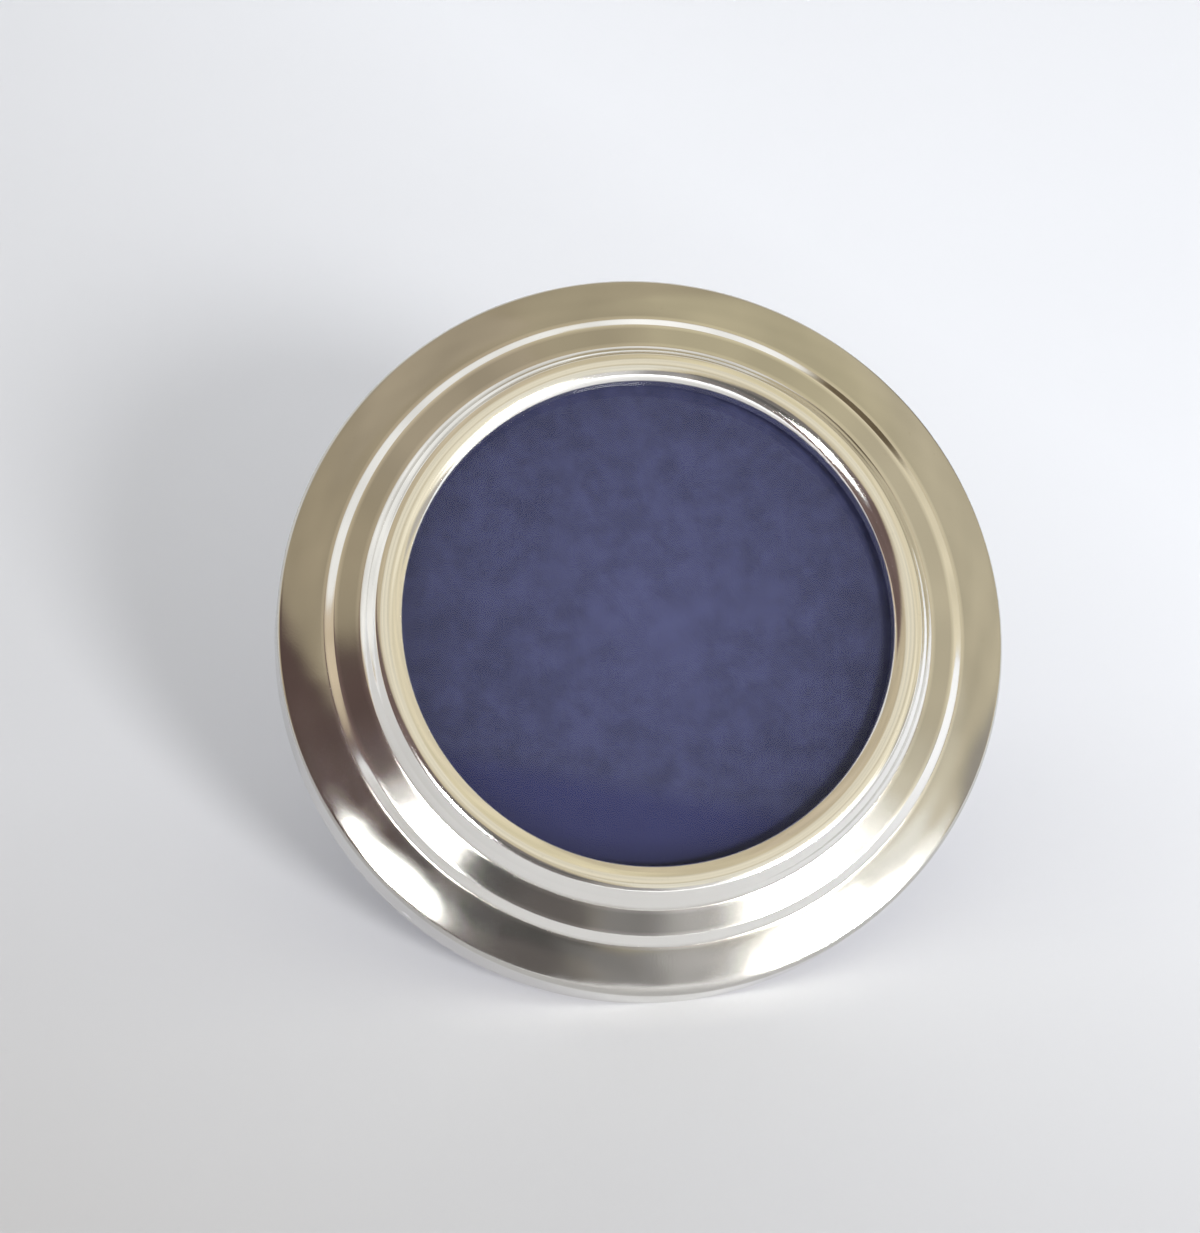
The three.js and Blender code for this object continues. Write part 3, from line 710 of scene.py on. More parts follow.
def pressed_card(name, base, fleck):
    """Pressed card or board: one tone with long fibres and dark and pale flecks."""
    material, tree, shader = new_material(name)
    fibre = noise(tree, object_place(tree, (0.3, 1.0, 1.0)), 1500.0, 4.0, 0.7)
    spot = noise(tree, object_place(tree), 700.0, 2.0, 0.5)
    share = spread(tree, fibre, 0.35, 0.7, 0.0, 0.6)
    share = added(tree, share, spread(tree, spot, 0.62, 0.72, 0.0, 0.4))
    fill(tree, shader, {
        "Base Color": blended(tree, share, base, fleck),
        "Roughness": spread(tree, fibre, 0.3, 0.7, 0.8, 0.95),
        "Normal": bump(tree, fibre, 0.3, 0.1 * MM),
    })
    return material


def blue_velvet(finish):
    """Short pile velvet: dark along the pile, with a bloom where it leans, and a soft sheen at the edges."""
    material, tree, shader = new_material("blue_velvet")
    place = object_place(tree)
    nap = noise(tree, place, 85.0, 3.0, 0.5)
    pile = noise(tree, place, 3200.0, 3.0, 0.7)
    bloom = spread(tree, nap, 0.35, 0.7, 0.0, 0.55)
    bloom = added(tree, bloom, spread(tree, pile, 0.4, 0.75, 0.0, 0.45))
    fill(tree, shader, {
        "Base Color": blended(tree, bloom, finish.velvet, finish.velvet_light),
        "Roughness": 0.95,
        "Specular IOR Level": 0.1,
        "Sheen Weight": 0.6,
        "Sheen Roughness": 0.35,
        "Sheen Tint": finish.velvet_sheen,
        "Normal": bump(tree, pile, 0.7, 0.18 * MM),
    })
    return material


def strut_card(finish):
    """Grey board lined on one face with dark blue paper that is rubbed at its edges."""
    material, tree, shader = new_material("lined_board")
    fibre = noise(tree, object_place(tree), 1800.0, 4.0, 0.7)
    rubbed = spread(tree, noise(tree, object_place(tree), 260.0, 3.0), 0.45, 0.75, 0.0, 0.25)
    paper = blended(tree, spread(tree, fibre, 0.3, 0.7), tinted(finish.lining, 0.8), finish.lining)
    worn = blended(tree, rubbed, paper, tinted(finish.lining, 1.8))
    fill(tree, shader, {
        "Base Color": blended(tree, stored(tree, "lined"), finish.board, worn),
        "Roughness": spread(tree, fibre, 0.3, 0.7, 0.6, 0.85),
        "Normal": bump(tree, fibre, 0.25, 0.06 * MM),
    })
    return material


def woven_ribbon(finish, thread_pitch):
    """Ribbed ribbon with painted shade between its ribs, and fine warp threads along it."""
    material, tree, shader = new_material("woven_ribbon")
    parts = node(tree, "ShaderNodeSeparateXYZ", {"Vector": stored(tree, "weave", "Vector")}).outputs
    turns = math_node(tree, "MULTIPLY", parts["Y"], 2.0 * math.pi / thread_pitch)
    threads = math_node(tree, "SINE", turns, 0.0)
    # Painted shade: darker in the hollows between the ribs, by the stored rib height.
    tone = spread(tree, parts["Z"], -1.0, 1.0, 0.0, 0.7)
    tone = added(tree, tone, spread(tree, threads, -1.0, 1.0, 0.0, 0.3))
    fill(tree, shader, {
        "Base Color": blended(tree, tone, tinted(finish.ribbon, 0.45), tinted(finish.ribbon, 1.5)),
        "Roughness": spread(tree, threads, -1.0, 1.0, 0.45, 0.65),
        "Sheen Weight": 0.25,
        "Normal": bump(tree, threads, 0.3, 0.04 * MM),
    })
    return material


def satin_brass(finish):
    """Brass with a worn satin polish and dull brown patches."""
    material, tree, shader = new_material("satin_brass")
    patch = noise(tree, object_place(tree), 420.0, 4.0, 0.6)
    brushed = noise(tree, object_place(tree, (0.1, 1.0, 1.0)), 6000.0, 2.0)
    dull = spread(tree, patch, 0.45, 0.75, 0.0, 0.7)
    fill(tree, shader, {
        "Base Color": blended(tree, dull, finish.brass, finish.brass_dull),
        "Metallic": 1.0,
        "Roughness": spread(tree, patch, 0.3, 0.75, 0.22, 0.45),
        "Normal": bump(tree, brushed, 0.08, 0.05 * MM),
    })
    return material


def bead_face(sizes, count):
    """Profile of the bead: a straight sight wall, a rounded roll, and a parabola each side of the crest."""
    front, radius = sizes.front, sizes.front.sight_radius
    crest = (sizes.bead_crest, sizes.crest)
    share = front.sight_roll / front.bead_inner_width
    inner = arch((radius, sizes.sight_edge), crest, count, share)
    meeting = inner[0, 1] + 2.0 * front.bead_sink * (1.0 - share) * share
    roll = quarter((radius, meeting + front.sight_roll), (radius, meeting), inner[0], count)
    outer = arch((sizes.bead_end, sizes.bead_foot), crest, count)[::-1]
    return np.vstack([[(radius, sizes.wall_end)], roll, inner[1:], outer[1:]])


def silver_face(sizes, count):
    """Profile of the face: sight wall, bead, two coves, band, step, bulged flange, round rim and skirt."""
    front = sizes.front
    bead_foot = (sizes.bead_end, sizes.bead_foot)
    arris = (sizes.cove_middle, sizes.cove_arris)
    cove_foot = (sizes.cove_end, sizes.cove_foot)
    step_foot = (sizes.step_end, sizes.step_foot)
    rim_start = (front.rim_radius - front.rim_round, -front.rim_round / 2)
    rim_end = (front.rim_radius, front.rim_round)
    return np.vstack([
        bead_face(sizes, count),
        bow(bead_foot, arris, -front.cove_hollow, count)[1:],
        bow(arris, cove_foot, -front.cove_hollow, count)[1:],
        [(sizes.band_end, sizes.band_foot), step_foot],
        bow(step_foot, rim_start, front.flange_bulge, count)[1:],
        quarter(rim_start, (front.rim_radius, 0.0), rim_end, count)[1:],
        [(front.rim_radius, front.skirt_depth)],
    ])


def hollowness(walk, reach, depth):
    """How far each point of an even walk lies behind the average within reach, as a share of depth."""
    away = averaged(walk, round(reach / step_of(walk))) - walk
    along = unit_rows(np.gradient(walk, axis=0))
    behind = away[:, 0] * along[:, 1] - away[:, 1] * along[:, 0]
    return np.clip(behind / depth, 0.0, 1.0)


def rubbed_bright(sizes, radius):
    """Where cloth rubs the silver brightest, by radius: bead, coves and step, but not the flats."""
    def past(edge):
        return np.clip((radius - edge) / sizes.front.rub_edge, 0.0, 1.0)

    before_step = np.clip((sizes.band_end - radius) / sizes.front.rub_edge, 0.0, 1.0)
    return (1.0 - past(sizes.cove_end) * before_step) * (1.0 - past(sizes.step_end))


class PHOTO_FRAME_OT_silver_front(bpy.types.Operator):
    """Spins the silver front from its profile"""

    bl_idname = "photo_frame.silver_front"
    bl_label = "Silver front"

    def execute(self, context):
        sizes = places(context.scene)
        front = sizes.front
        wall_edge = (front.sight_radius + front.sheet / 2, sizes.wall_end)
        skirt_edge = (front.rim_radius - front.sheet / 2, front.skirt_depth)
        outline = np.vstack([wall_edge, silver_face(sizes, CURVE_POINTS), skirt_edge])
        face = softened(outline, front.edge_round)
        hollow = hollowness(face, front.tarnish_reach, front.tarnish_depth)
        rows = thinned(np.column_stack([face, hollow]), SILVER_ROWS)
        inside = inset(silver_face(sizes, COARSE_POINTS), front.sheet)[::-1]
        profile = np.vstack([rows[:, :2], inside])
        hollow = np.concatenate([rows[:, 2], np.ones(len(inside))])
        shells = [shell(on_frame(sizes, turned(profile)), closed=True)]
        silver = polished_silver(sizes.finish)
        piece = dressed("spun_silver_front", shells, silver, "frame", "silver", "silver_front")
        mark(piece.data, "hollow", np.repeat(hollow, ROUND_COLUMNS))
        mark(piece.data, "rubbed", np.repeat(rubbed_bright(sizes, profile[:, 0]), ROUND_COLUMNS))
        return {"FINISHED"}


class PHOTO_FRAME_OT_rim_pins(bpy.types.Operator):
    """Sets the domed pins that hold the silver skirt to the ring"""

    bl_idname = "photo_frame.rim_pins"
    bl_label = "Rim pins"

    def execute(self, context):
        sizes = places(context.scene)
        front = sizes.front
        depth = (sizes.shoulder + sizes.ring_rear) / 2
        top = front.rim_radius + front.pin_dome
        edge, corner = (front.pin_radius, front.rim_radius), (front.pin_radius, top)
        dome = quarter(edge, corner, (PIN_GAP_SHARE * front.pin_radius, top), PIN_DOME_POINTS)
        thin = front.pin_radius / 2
        point = (thin / 2, sizes.pin_foot)
        shank = [(thin, sizes.pin_foot + front.pin_radius), (thin, front.rim_radius)]
        profile = np.vstack([point, shank, dome])
        silver = polished_silver(sizes.finish)
        rearwards = np.array([0.0, 1.0, 0.0])
        for number in range(1, RIM_PINS + 1):
            turn = (number - 0.5) * 2.0 * math.pi / RIM_PINS
            outward = np.array([math.sin(turn), 0.0, math.cos(turn)])
            sideways = np.array([math.cos(turn), 0.0, -math.sin(turn)])
            grid = turned(profile, SMALL_COLUMNS) @ np.stack([sideways, outward, rearwards])
            shells = [shell(on_frame(sizes, grid + depth * rearwards))]
            piece = dressed(
                f"domed_rim_pin_{number}", shells, silver, "frame", "silver", f"rim_pin_{number}"
            )
            mark(piece.data, "hollow", np.zeros(len(piece.data.vertices)))
            mark(piece.data, "rubbed", np.ones(len(piece.data.vertices)))
        return {"FINISHED"}


class PHOTO_FRAME_OT_former_ring(bpy.types.Operator):
    """Turns the wooden ring that fills the silver and seats the glass"""

    bl_idname = "photo_frame.former_ring"
    bl_label = "Former ring"

    def execute(self, context):
        sizes = places(context.scene)
        rim = sizes.front.rim_radius
        corners = np.array([
            (sizes.bead_end, sizes.bead_foot),
            (sizes.cove_end, sizes.cove_foot),
            (sizes.band_end, sizes.band_foot),
            (sizes.step_end, sizes.step_foot),
            (rim, 0.0),
            (rim, sizes.ring_rear),
        ])
        under = inset(corners, sizes.front.sheet + sizes.back.fit)
        first, second = under[:2]
        under[0] = first + (second - first) * (sizes.glass_front - first[1]) / (second[1] - first[1])
        middle = (sizes.glass_front + sizes.shoulder) / 2
        loop = np.vstack([
            [(sizes.ring_bore, middle), (sizes.ring_bore, sizes.glass_front)],
            under,
            [(sizes.recess_radius, sizes.ring_rear), (sizes.recess_radius, sizes.shoulder)],
            [(sizes.ring_bore, sizes.shoulder), (sizes.ring_bore, middle)],
        ])
        profile = thinned(softened(loop, sizes.back.ring_edge), RING_ROWS)[:-1]
        shells = [shell(on_frame(sizes, turned(profile)), closed=True)]
        dressed("turned_wood_ring", shells, stained_wood(sizes.finish), "frame", "wood", "former_ring")
        return {"FINISHED"}


def round_plate(sizes, radius, front, rear, edge):
    """A flat disc with softened edges: a rectangle of radius by depth turned round the axis."""
    start = PLATE_GAP_SHARE * radius
    line = [(start, front), (radius, front), (radius, rear), (start, rear)]
    return shell(on_frame(sizes, turned(thinned(softened(line, edge), PLATE_ROWS))))


class PHOTO_FRAME_OT_glass(bpy.types.Operator):
    """Cuts the flat glass disc"""

    bl_idname = "photo_frame.glass"
    bl_label = "Glass"

    def execute(self, context):
        sizes = places(context.scene)
        edge = sizes.back.glass_edge
        shells = [round_plate(sizes, sizes.glass_radius, sizes.glass_front, sizes.glass_rear, edge)]
        dressed("cut_glass_disc", shells, clear_glass(sizes.finish), "frame", "glass", "glass")
        return {"FINISHED"}


class PHOTO_FRAME_OT_cards(bpy.types.Operator):
    """Cuts the blue insert and the packing card behind it"""

    bl_idname = "photo_frame.cards"
    bl_label = "Cards"

    def execute(self, context):
        sizes = places(context.scene)
        back, radius = sizes.back, sizes.glass_radius
        insert = [round_plate(sizes, radius, sizes.card_front, sizes.card_rear, back.card_edge)]
        dressed("blue_paper_insert", insert, blue_paper(sizes), "back", "blue_card", "display_card")
        front, rear = sizes.card_rear + back.fit, sizes.board_front - back.fit
        packing = [round_plate(sizes, radius, front, rear, back.packing_edge)]
        kraft = pressed_card("kraft_card", sizes.finish.kraft, tinted(sizes.finish.kraft, 0.6))
        dressed("kraft_packing", packing, kraft, "back", "kraft_card", "packing_card")
        return {"FINISHED"}


def ripple(points, height, reach):
    """A gentle unevenness: a sum of five sine waves in fixed directions, each about as long as reach."""
    ways = np.array([[1.0, 0.2, 0.4], [-0.5, 0.3, 0.9], [0.7, -0.4, -0.8], [0.2, 0.9, 0.6], [-0.9, 0.1, 0.5]])
    phases = np.array([0.4, 1.9, 3.1, 4.4, 5.6])
    lengths = reach * np.array([1.0, 0.74, 0.53, 0.39, 0.28])
    waves = np.sin(2.0 * math.pi * (points @ ways.T) / lengths + phases)
    return height * (waves * lengths / reach).sum(axis=-1) / 2.0


def rumpled(grid, beyond, group):
    """A velvet cover's grid, rippled in depth and pressed in by a little where it lies beyond one depth."""
    lift = ripple(grid, group.velvet_rise, group.velvet_run) - group.velvet_dip
    uneven = grid.copy()
    uneven[..., 1] += np.where(grid[..., 1] > beyond, lift, 0.0)
    return uneven


class PHOTO_FRAME_OT_back_panel(bpy.types.Operator):
    """Cuts the back board and covers it with velvet"""

    bl_idname = "photo_frame.back_panel"
    bl_label = "Back panel"

    def execute(self, context):
        sizes = places(context.scene)
        back, finish = sizes.back, sizes.finish
        board = [round_plate(sizes, sizes.board_radius, sizes.board_front, sizes.board_rear, back.board_edge)]
        grey = pressed_card("grey_board", finish.board, tinted(finish.board, 0.55))
        dressed("pressed_back_board", board, grey, "back", "grey_board", "back_board")
        line = [
            (COVER_GAP, sizes.velvet_rear),
            (sizes.velvet_radius, sizes.velvet_rear),
            (sizes.velvet_radius, sizes.board_front),
            (sizes.board_radius, sizes.board_front),
        ]
        outside = thinned(softened(line, back.velvet_bend), COVER_ROWS)
        inside = [(sizes.board_radius, sizes.board_rear), (COVER_GAP, sizes.board_rear)]
        grid = rumpled(turned(np.vstack([outside, inside])), sizes.board_rear + back.fit, back)
        shells = [shell(on_frame(sizes, grid))]
        cover = dressed("velvet_back_cover", shells, blue_velvet(finish), "back", "velvet", "back_velvet")
        return {"FINISHED"}


def rounded_box(low, high, edge):
    """A box with rounded upright corners and softened edges, as rings of one rounded rectangle:
    rings grow out from the front face, run along the depth and close on the rear face."""
    columns, edge_steps, corner_share = 48, 5, 1.5
    centre, half = (np.array(low) + np.array(high)) / 2, (np.array(high) - np.array(low)) / 2
    turn = np.linspace(0.0, 2.0 * math.pi, columns, endpoint=False) + math.pi / columns
    round_x, round_z = np.cos(turn), np.sin(turn)
    a = np.linspace(0.0, math.pi / 2, edge_steps)
    margins = np.concatenate([np.sin(a), np.cos(a)]) - 1.0
    depths = np.concatenate([-half[1] + edge * (1.0 - np.cos(a)), half[1] - edge * (1.0 - np.sin(a))])
    corner = edge * (corner_share + margins)[:, None]
    x = np.sign(round_x) * (half[0] - corner_share * edge) + corner * round_x
    z = np.sign(round_z) * (half[2] - corner_share * edge) + corner * round_z
    return centre + np.stack([x, depths[:, None] + 0.0 * x, z], axis=-1)


def knuckle(sizes, start, end):
    """A rolled knuckle: a rounded section of radius by length turned round the hinge pin."""
    bore, outside = sizes.hinge.pin_radius + sizes.back.seat, sizes.hinge.knuckle_radius
    middle = (start + end) / 2
    loop = [(bore, middle), (bore, start), (outside, start), (outside, end), (bore, end), (bore, middle)]
    return turned_across(thinned(softened(loop, sizes.hinge.knuckle_edge), KNUCKLE_ROWS)[:-1])


def leaf_grids(sizes, side, spans):
    """A hinge leaf round the pin: a flat plate that goes up where side is 1 and down where it is -1,
    and for each span a tongue and its knuckle. Each grid comes with whether it closes on itself."""
    hinge = sizes.hinge
    half = hinge.width / 2
    near, far = sizes.strut_leaf_front, sizes.strut_leaf_rear

    def plate(x_low, x_high, start, end):
        low, high = sorted([side * start, side * end])
        return rounded_box((x_low, near, low), (x_high, far, high), hinge.leaf_edge)

    tongue_end = sizes.leaf_start + hinge.leaf_thickness
    flat = [(plate(-half, half, sizes.leaf_start, hinge.leaf_length), False)]
    tongues = [(plate(start, end, 0.0, tongue_end), False) for start, end in spans]
    rolls = [(knuckle(sizes, start, end), True) for start, end in spans]
    return flat + tongues + rolls


def hinge_pin(sizes):
    """The hinge pin: a stepped line of radius by place across, turned round its axis into a shank between
    two heads."""
    hinge = sizes.hinge
    shank = hinge.width / 2 + sizes.back.seat
    end = shank + hinge.pin_head
    head = hinge.pin_head_radius
    right = [(hinge.pin_radius, shank), (head, shank), (head, end), (AXIS_GAP, end)]
    left = [(radius, -across) for radius, across in right[::-1]]
    return turned_across(thinned(softened(left + right, hinge.pin_edge), HINGE_PIN_ROWS))


class PHOTO_FRAME_OT_hinge(bpy.types.Operator):
    """Makes the two leaves and the pin of the strut's hinge"""

    bl_idname = "photo_frame.hinge"
    bl_label = "Hinge"

    def execute(self, context):
        sizes = places(context.scene)
        brass = satin_brass(sizes.finish)
        half, middle = sizes.hinge.width / 2, sizes.hinge.middle_knuckle / 2
        gap = sizes.back.fit
        pivot = np.array([0.0, sizes.pivot_depth, sizes.hinge.height])
        outer = leaf_grids(sizes, 1, [(-half, -middle - gap), (middle + gap, half)])
        back_leaf = [shell(on_frame(sizes, grid + pivot), closed) for grid, closed in outer]
        dressed("brass_leaf_back", back_leaf, brass, "back", "brass", "hinge_leaf_back")
        inner = leaf_grids(sizes, -1, [(-middle, middle)])
        strut_leaf = [shell(on_strut(sizes, grid), closed) for grid, closed in inner]
        dressed("brass_leaf_strut", strut_leaf, brass, "strut", "brass", "hinge_leaf_strut")
        pin = [shell(on_frame(sizes, hinge_pin(sizes) + pivot))]
        dressed("brass_hinge_pin", pin, brass, "back", "brass", "hinge_pin")
        return {"FINISHED"}


def rivet_grid(sizes, head_seat, tail_seat, x, z):
    """A rivet along the depth: a quarter ellipse dome, a shank and a flat tail turned round its own axis."""
    hinge = sizes.hinge
    out = math.copysign(1.0, head_seat - tail_seat)
    head, tail = hinge.rivet_head_radius, hinge.rivet_tail_radius
    top = head_seat + out * hinge.rivet_dome
    end = tail_seat - out * hinge.rivet_tail
    dome = quarter((RIVET_GAP_SHARE * head, top), (head, top), (head, head_seat), RIVET_DOME_POINTS)
    shank = [(hinge.rivet_radius, head_seat), (hinge.rivet_radius, tail_seat)]
    foot = [(tail, tail_seat), (tail, end), (AXIS_GAP, end)]
    profile = thinned(softened(np.vstack([dome, shank, foot]), hinge.rivet_edge), RIVET_ROWS)
    return turned(profile, SMALL_COLUMNS) + np.array([x, 0.0, z])


class PHOTO_FRAME_OT_rivets(bpy.types.Operator):
    """Sets the rivets of the hinge and of the ribbon"""

    bl_idname = "photo_frame.rivets"
    bl_label = "Rivets"

    def execute(self, context):
        sizes = places(context.scene)
        brass = satin_brass(sizes.finish)
        seat, band = sizes.back.seat, sizes.strut.ribbon_thickness
        across, height = sizes.rivet_across, sizes.hinge.height
        leaf, tab = sizes.leaf_middle, sizes.tab_middle
        in_board = sizes.board_front + sizes.hinge.counterbore - seat
        on_leaf = sizes.leaf_rear + seat
        on_back = {
            "hinge_rivet_back_left": (on_leaf, in_board, -across, height + leaf),
            "hinge_rivet_back_right": (on_leaf, in_board, across, height + leaf),
            "ribbon_rivet_back": (sizes.velvet_rear + 2 * seat + band, in_board, 0.0, height - tab),
        }
        on_cover, under_leaf = sizes.cover_rear + seat, sizes.strut_leaf_front - seat
        on_leg = {
            "hinge_rivet_strut_left": (on_cover, under_leaf, -across, -leaf),
            "hinge_rivet_strut_right": (on_cover, under_leaf, across, -leaf),
            "ribbon_rivet_strut": (sizes.strut_front - 2 * seat - band, on_cover, 0.0, -tab),
        }
        for body, rivets, put in (("back", on_back, on_frame), ("strut", on_leg, on_strut)):
            for name, place in rivets.items():
                shells = [shell(put(sizes, rivet_grid(sizes, *place)))]
                dressed(f"brass_{name}", shells, brass, body, "brass", name)
        return {"FINISHED"}


def strut_ring(sizes, margin, depth, shrink=0.0):
    """The strut's tapered outline, larger by margin, at one depth. Its foot is cut along the table, and
    shrink draws it in towards its own middle."""
    side_points, corner_points, head_points, sole_points = 40, 14, 16, 20
    strut = sizes.strut
    foot = -sizes.strut_reach - depth * sizes.foot_slope
    top = margin - sizes.strut_top
    top_half, full_half = strut.top_width / 2 + margin, strut.foot_width / 2 + margin
    full = -sizes.strut_reach - strut.overrun
    foot_half = top_half + (full_half - top_half) * (foot - top) / (full - top)
    corner = strut.corner + margin
    right = np.vstack([
        walked(np.array([(foot_half, foot), (top_half, top - corner)]), side_points),
        quarter((top_half, top - corner), (top_half, top), (top_half - corner, top), corner_points)[1:],
    ])
    left = right[::-1] * np.array([-1.0, 1.0])
    head = walked(np.vstack([right[-1], left[0]]), head_points)[1:-1]
    sole = walked(np.vstack([left[-1], right[0]]), sole_points)[1:-1]
    outline = np.vstack([right, head, left, sole])
    middle = np.array([0.0, (top + foot) / 2])
    outline = middle + (outline - middle) * (1.0 - shrink)
    return np.stack([outline[:, 0], np.full(len(outline), depth), outline[:, 1]], axis=1)


def strut_board_grid(sizes):
    """Rings of the strut's board from the middle of its front face to the middle of its rear face."""
    edge = sizes.strut.board_edge
    rings = [
        (-edge, sizes.strut_front, 0.5),
        (-edge, sizes.strut_front, 0.0),
        (0.0, sizes.strut_front + edge, 0.0),
        (0.0, sizes.strut_rear - edge, 0.0),
        (-edge, sizes.strut_rear, 0.0),
        (-edge, sizes.strut_rear, 0.5),
    ]
    return np.stack([strut_ring(sizes, *ring) for ring in rings])


def strut_cover_grid(sizes):
    """Rings of the strut's velvet: out over the rear face, round a quarter circle, along the side to the hem,
    and back along the board."""
    bend, hem, glue = sizes.strut.velvet_bend, sizes.strut.hem, sizes.strut.glue
    cover, front, rear = sizes.cover, sizes.strut_front, sizes.cover_rear
    flat = [(cover - bend, rear, shrink) for shrink in (0.97, 0.8, 0.6, 0.4, 0.2, 0.08)]
    turn = [
        (cover + bend * (math.sin(a) - 1.0), rear + bend * (math.cos(a) - 1.0), 0.0)
        for a in np.linspace(0.0, math.pi / 2, BEND_STEPS)
    ]
    rim = [(cover, front + hem, 0.0), (cover - hem, front, 0.0), (glue, front, 0.0)]
    inner = [(glue, sizes.strut_rear + glue, shrink) for shrink in (0.0, 0.9)]
    grid = np.stack([strut_ring(sizes, *ring) for ring in flat + turn + rim + inner])
    return rumpled(grid, sizes.strut_rear + cover / 2, sizes.strut)


class PHOTO_FRAME_OT_strut(bpy.types.Operator):
    """Cuts the strut's lined board and covers it with velvet"""

    bl_idname = "photo_frame.strut"
    bl_label = "Strut"

    def execute(self, context):
        sizes = places(context.scene)
        strut, finish = sizes.strut, sizes.finish
        grid = strut_board_grid(sizes)
        shells = [shell(on_strut(sizes, grid))]
        board = dressed("lined_strut_board", shells, strut_card(finish), "strut", "grey_board", "strut_board")
        lined = np.repeat([1.0, 1.0, 0.0, 0.0, 0.0, 0.0], grid.shape[1])
        mark(board.data, "lined", np.concatenate([lined, [1.0, 0.0]]))
        shells = [shell(on_strut(sizes, strut_cover_grid(sizes)))]
        cover = dressed("velvet_strut_cover", shells, blue_velvet(finish), "strut", "velvet", "strut_velvet")
        return {"FINISHED"}


def ribbon_line(sizes):
    """Middle line of the taut ribbon, as (rearwards, up): a tab on the back, the span, a tab on the strut."""
    off = sizes.back.seat + sizes.strut.ribbon_thickness / 2
    on_panel, below = sizes.velvet_rear + off, sizes.strut_front - off
    bend, end = sizes.strut.ribbon_reach, sizes.strut.ribbon_reach + sizes.strut.ribbon_tab
    return np.array([
        (on_panel, sizes.hinge.height - end),
        (on_panel, sizes.hinge.height - bend),
        swung(sizes, below, -bend),
        swung(sizes, below, -end),
    ])


def ribbon_section(half_count):
    """Section of the ribbon as (across, thickness), from -1 to 1: thickness is the root of 1 - across^6."""
    above = np.linspace(0.0, math.pi, half_count)
    a = np.concatenate([above, math.pi + above[1:-1]])
    across = -np.cos(a)
    thick = np.sign(np.sin(a)) * np.sqrt(1.0 - np.abs(across) ** 6)
    thick[[0, half_count - 1]] = 0.0
    return across, thick


class PHOTO_FRAME_OT_ribbon(bpy.types.Operator):
    """Weaves the stay ribbon between the back panel and the strut"""

    bl_idname = "photo_frame.ribbon"
    bl_label = "Stay ribbon"

    def execute(self, context):
        sizes = places(context.scene)
        strut = sizes.strut
        corners = ribbon_line(sizes)
        total = np.linalg.norm(np.diff(corners, axis=0), axis=1).sum()
        line = walked(softened(corners, strut.ribbon_bend), RIBBON_ROWS)
        along = unit_rows(np.gradient(line, axis=0))
        run = np.linspace(0.0, total, len(line))[:, None]
        rib = np.sin(2.0 * math.pi * run / strut.rib_pitch)
        across, thick = ribbon_section(RIBBON_HALF)
        lift = thick * (strut.ribbon_thickness / 2) * (1.0 - strut.rib_share + strut.rib_share * rib)
        beside = np.broadcast_to(across * strut.ribbon_width / 2, lift.shape)
        rearwards = line[:, :1] - along[:, 1:] * lift
        up = line[:, 1:] + along[:, :1] * lift
        grid = np.stack([beside, rearwards, up], axis=-1)
        mesh = mesh_of("woven_stay_ribbon", [shell(on_frame(sizes, grid))])
        piece = linked("woven_stay_ribbon", mesh, woven_ribbon(sizes.finish, strut.thread_pitch))
        # The rib height stored here also paints shade between the ribs.
        weave = np.stack(np.broadcast_arrays(run, beside, rib), axis=-1).reshape(-1, 3)
        mark(mesh, "weave", np.vstack([weave, weave[:1], weave[-1:]]))
        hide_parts("stay_ribbon")
        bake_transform(piece)
        return {"FINISHED"}


def direction(azimuth, elevation):
    """Unit vectors towards places turned to the right of the front by azimuth, and up by elevation."""
    flat = np.cos(elevation)
    return np.stack([np.sin(azimuth) * flat, -np.cos(azimuth) * flat, np.sin(elevation)], axis=-1)


def floor_with_painted_light(finish, stage):
    """Matt pale floor, faintly uneven, with painted light: paler with depth, along a slant to the right and
    far away, and darker at the front left.
    """
    material, tree, shader = new_material("floor_with_painted_light")
    place = object_place(tree)
    right_and_back, straight_back = (0.95, 0.31, 0.0), (0.0, 1.0, 0.0)
    slant = measured(tree, "DOT_PRODUCT", place, right_and_back)
    depth = measured(tree, "DOT_PRODUCT", place, straight_back)
    away = measured(tree, "LENGTH", place)
    aside = spread(tree, slant, stage.pale_left, stage.pale_right, 0.0, stage.pale_aside)
    behind = spread(tree, depth, stage.pale_front, stage.pale_back, 0.0, 1.0 - stage.pale_aside)
    around = spread(tree, away, stage.pale_near, stage.pale_far)
    # Painted light: the floor's colour runs from the darker near colour at the front left to the paler one at
    # the back right and far away.
    pale = math_node(tree, "MAXIMUM", added(tree, aside, behind), around)
    pale = added(tree, pale, spread(tree, noise(tree, place, 9.0, 2.0), 0.0, 1.0, -0.04, 0.04))
    fill(tree, shader, {
        "Base Color": blended(tree, pale, finish.floor_painted_shade, finish.floor),
        "Roughness": 0.9,
        "Specular IOR Level": 0.1,
    })
    return material


def glow(name, attribute):
    """Light given off in the colour stored on the mesh's points, except to what is seen through glass."""
    material, tree, shader = new_material(name)
    tree.nodes.remove(shader)
    panes = tree.nodes.new("ShaderNodeLightPath").outputs["Transmission Depth"]
    strength = spread(tree, panes, 0.0, 1.0, 1.0, 0.0)
    tone = stored(tree, attribute, "Color")
    shine = node(tree, "ShaderNodeEmission", {"Color": tone, "Strength": strength})
    tree.links.new(shine.outputs[0], tree.nodes["Material Output"].inputs["Surface"])
    return material


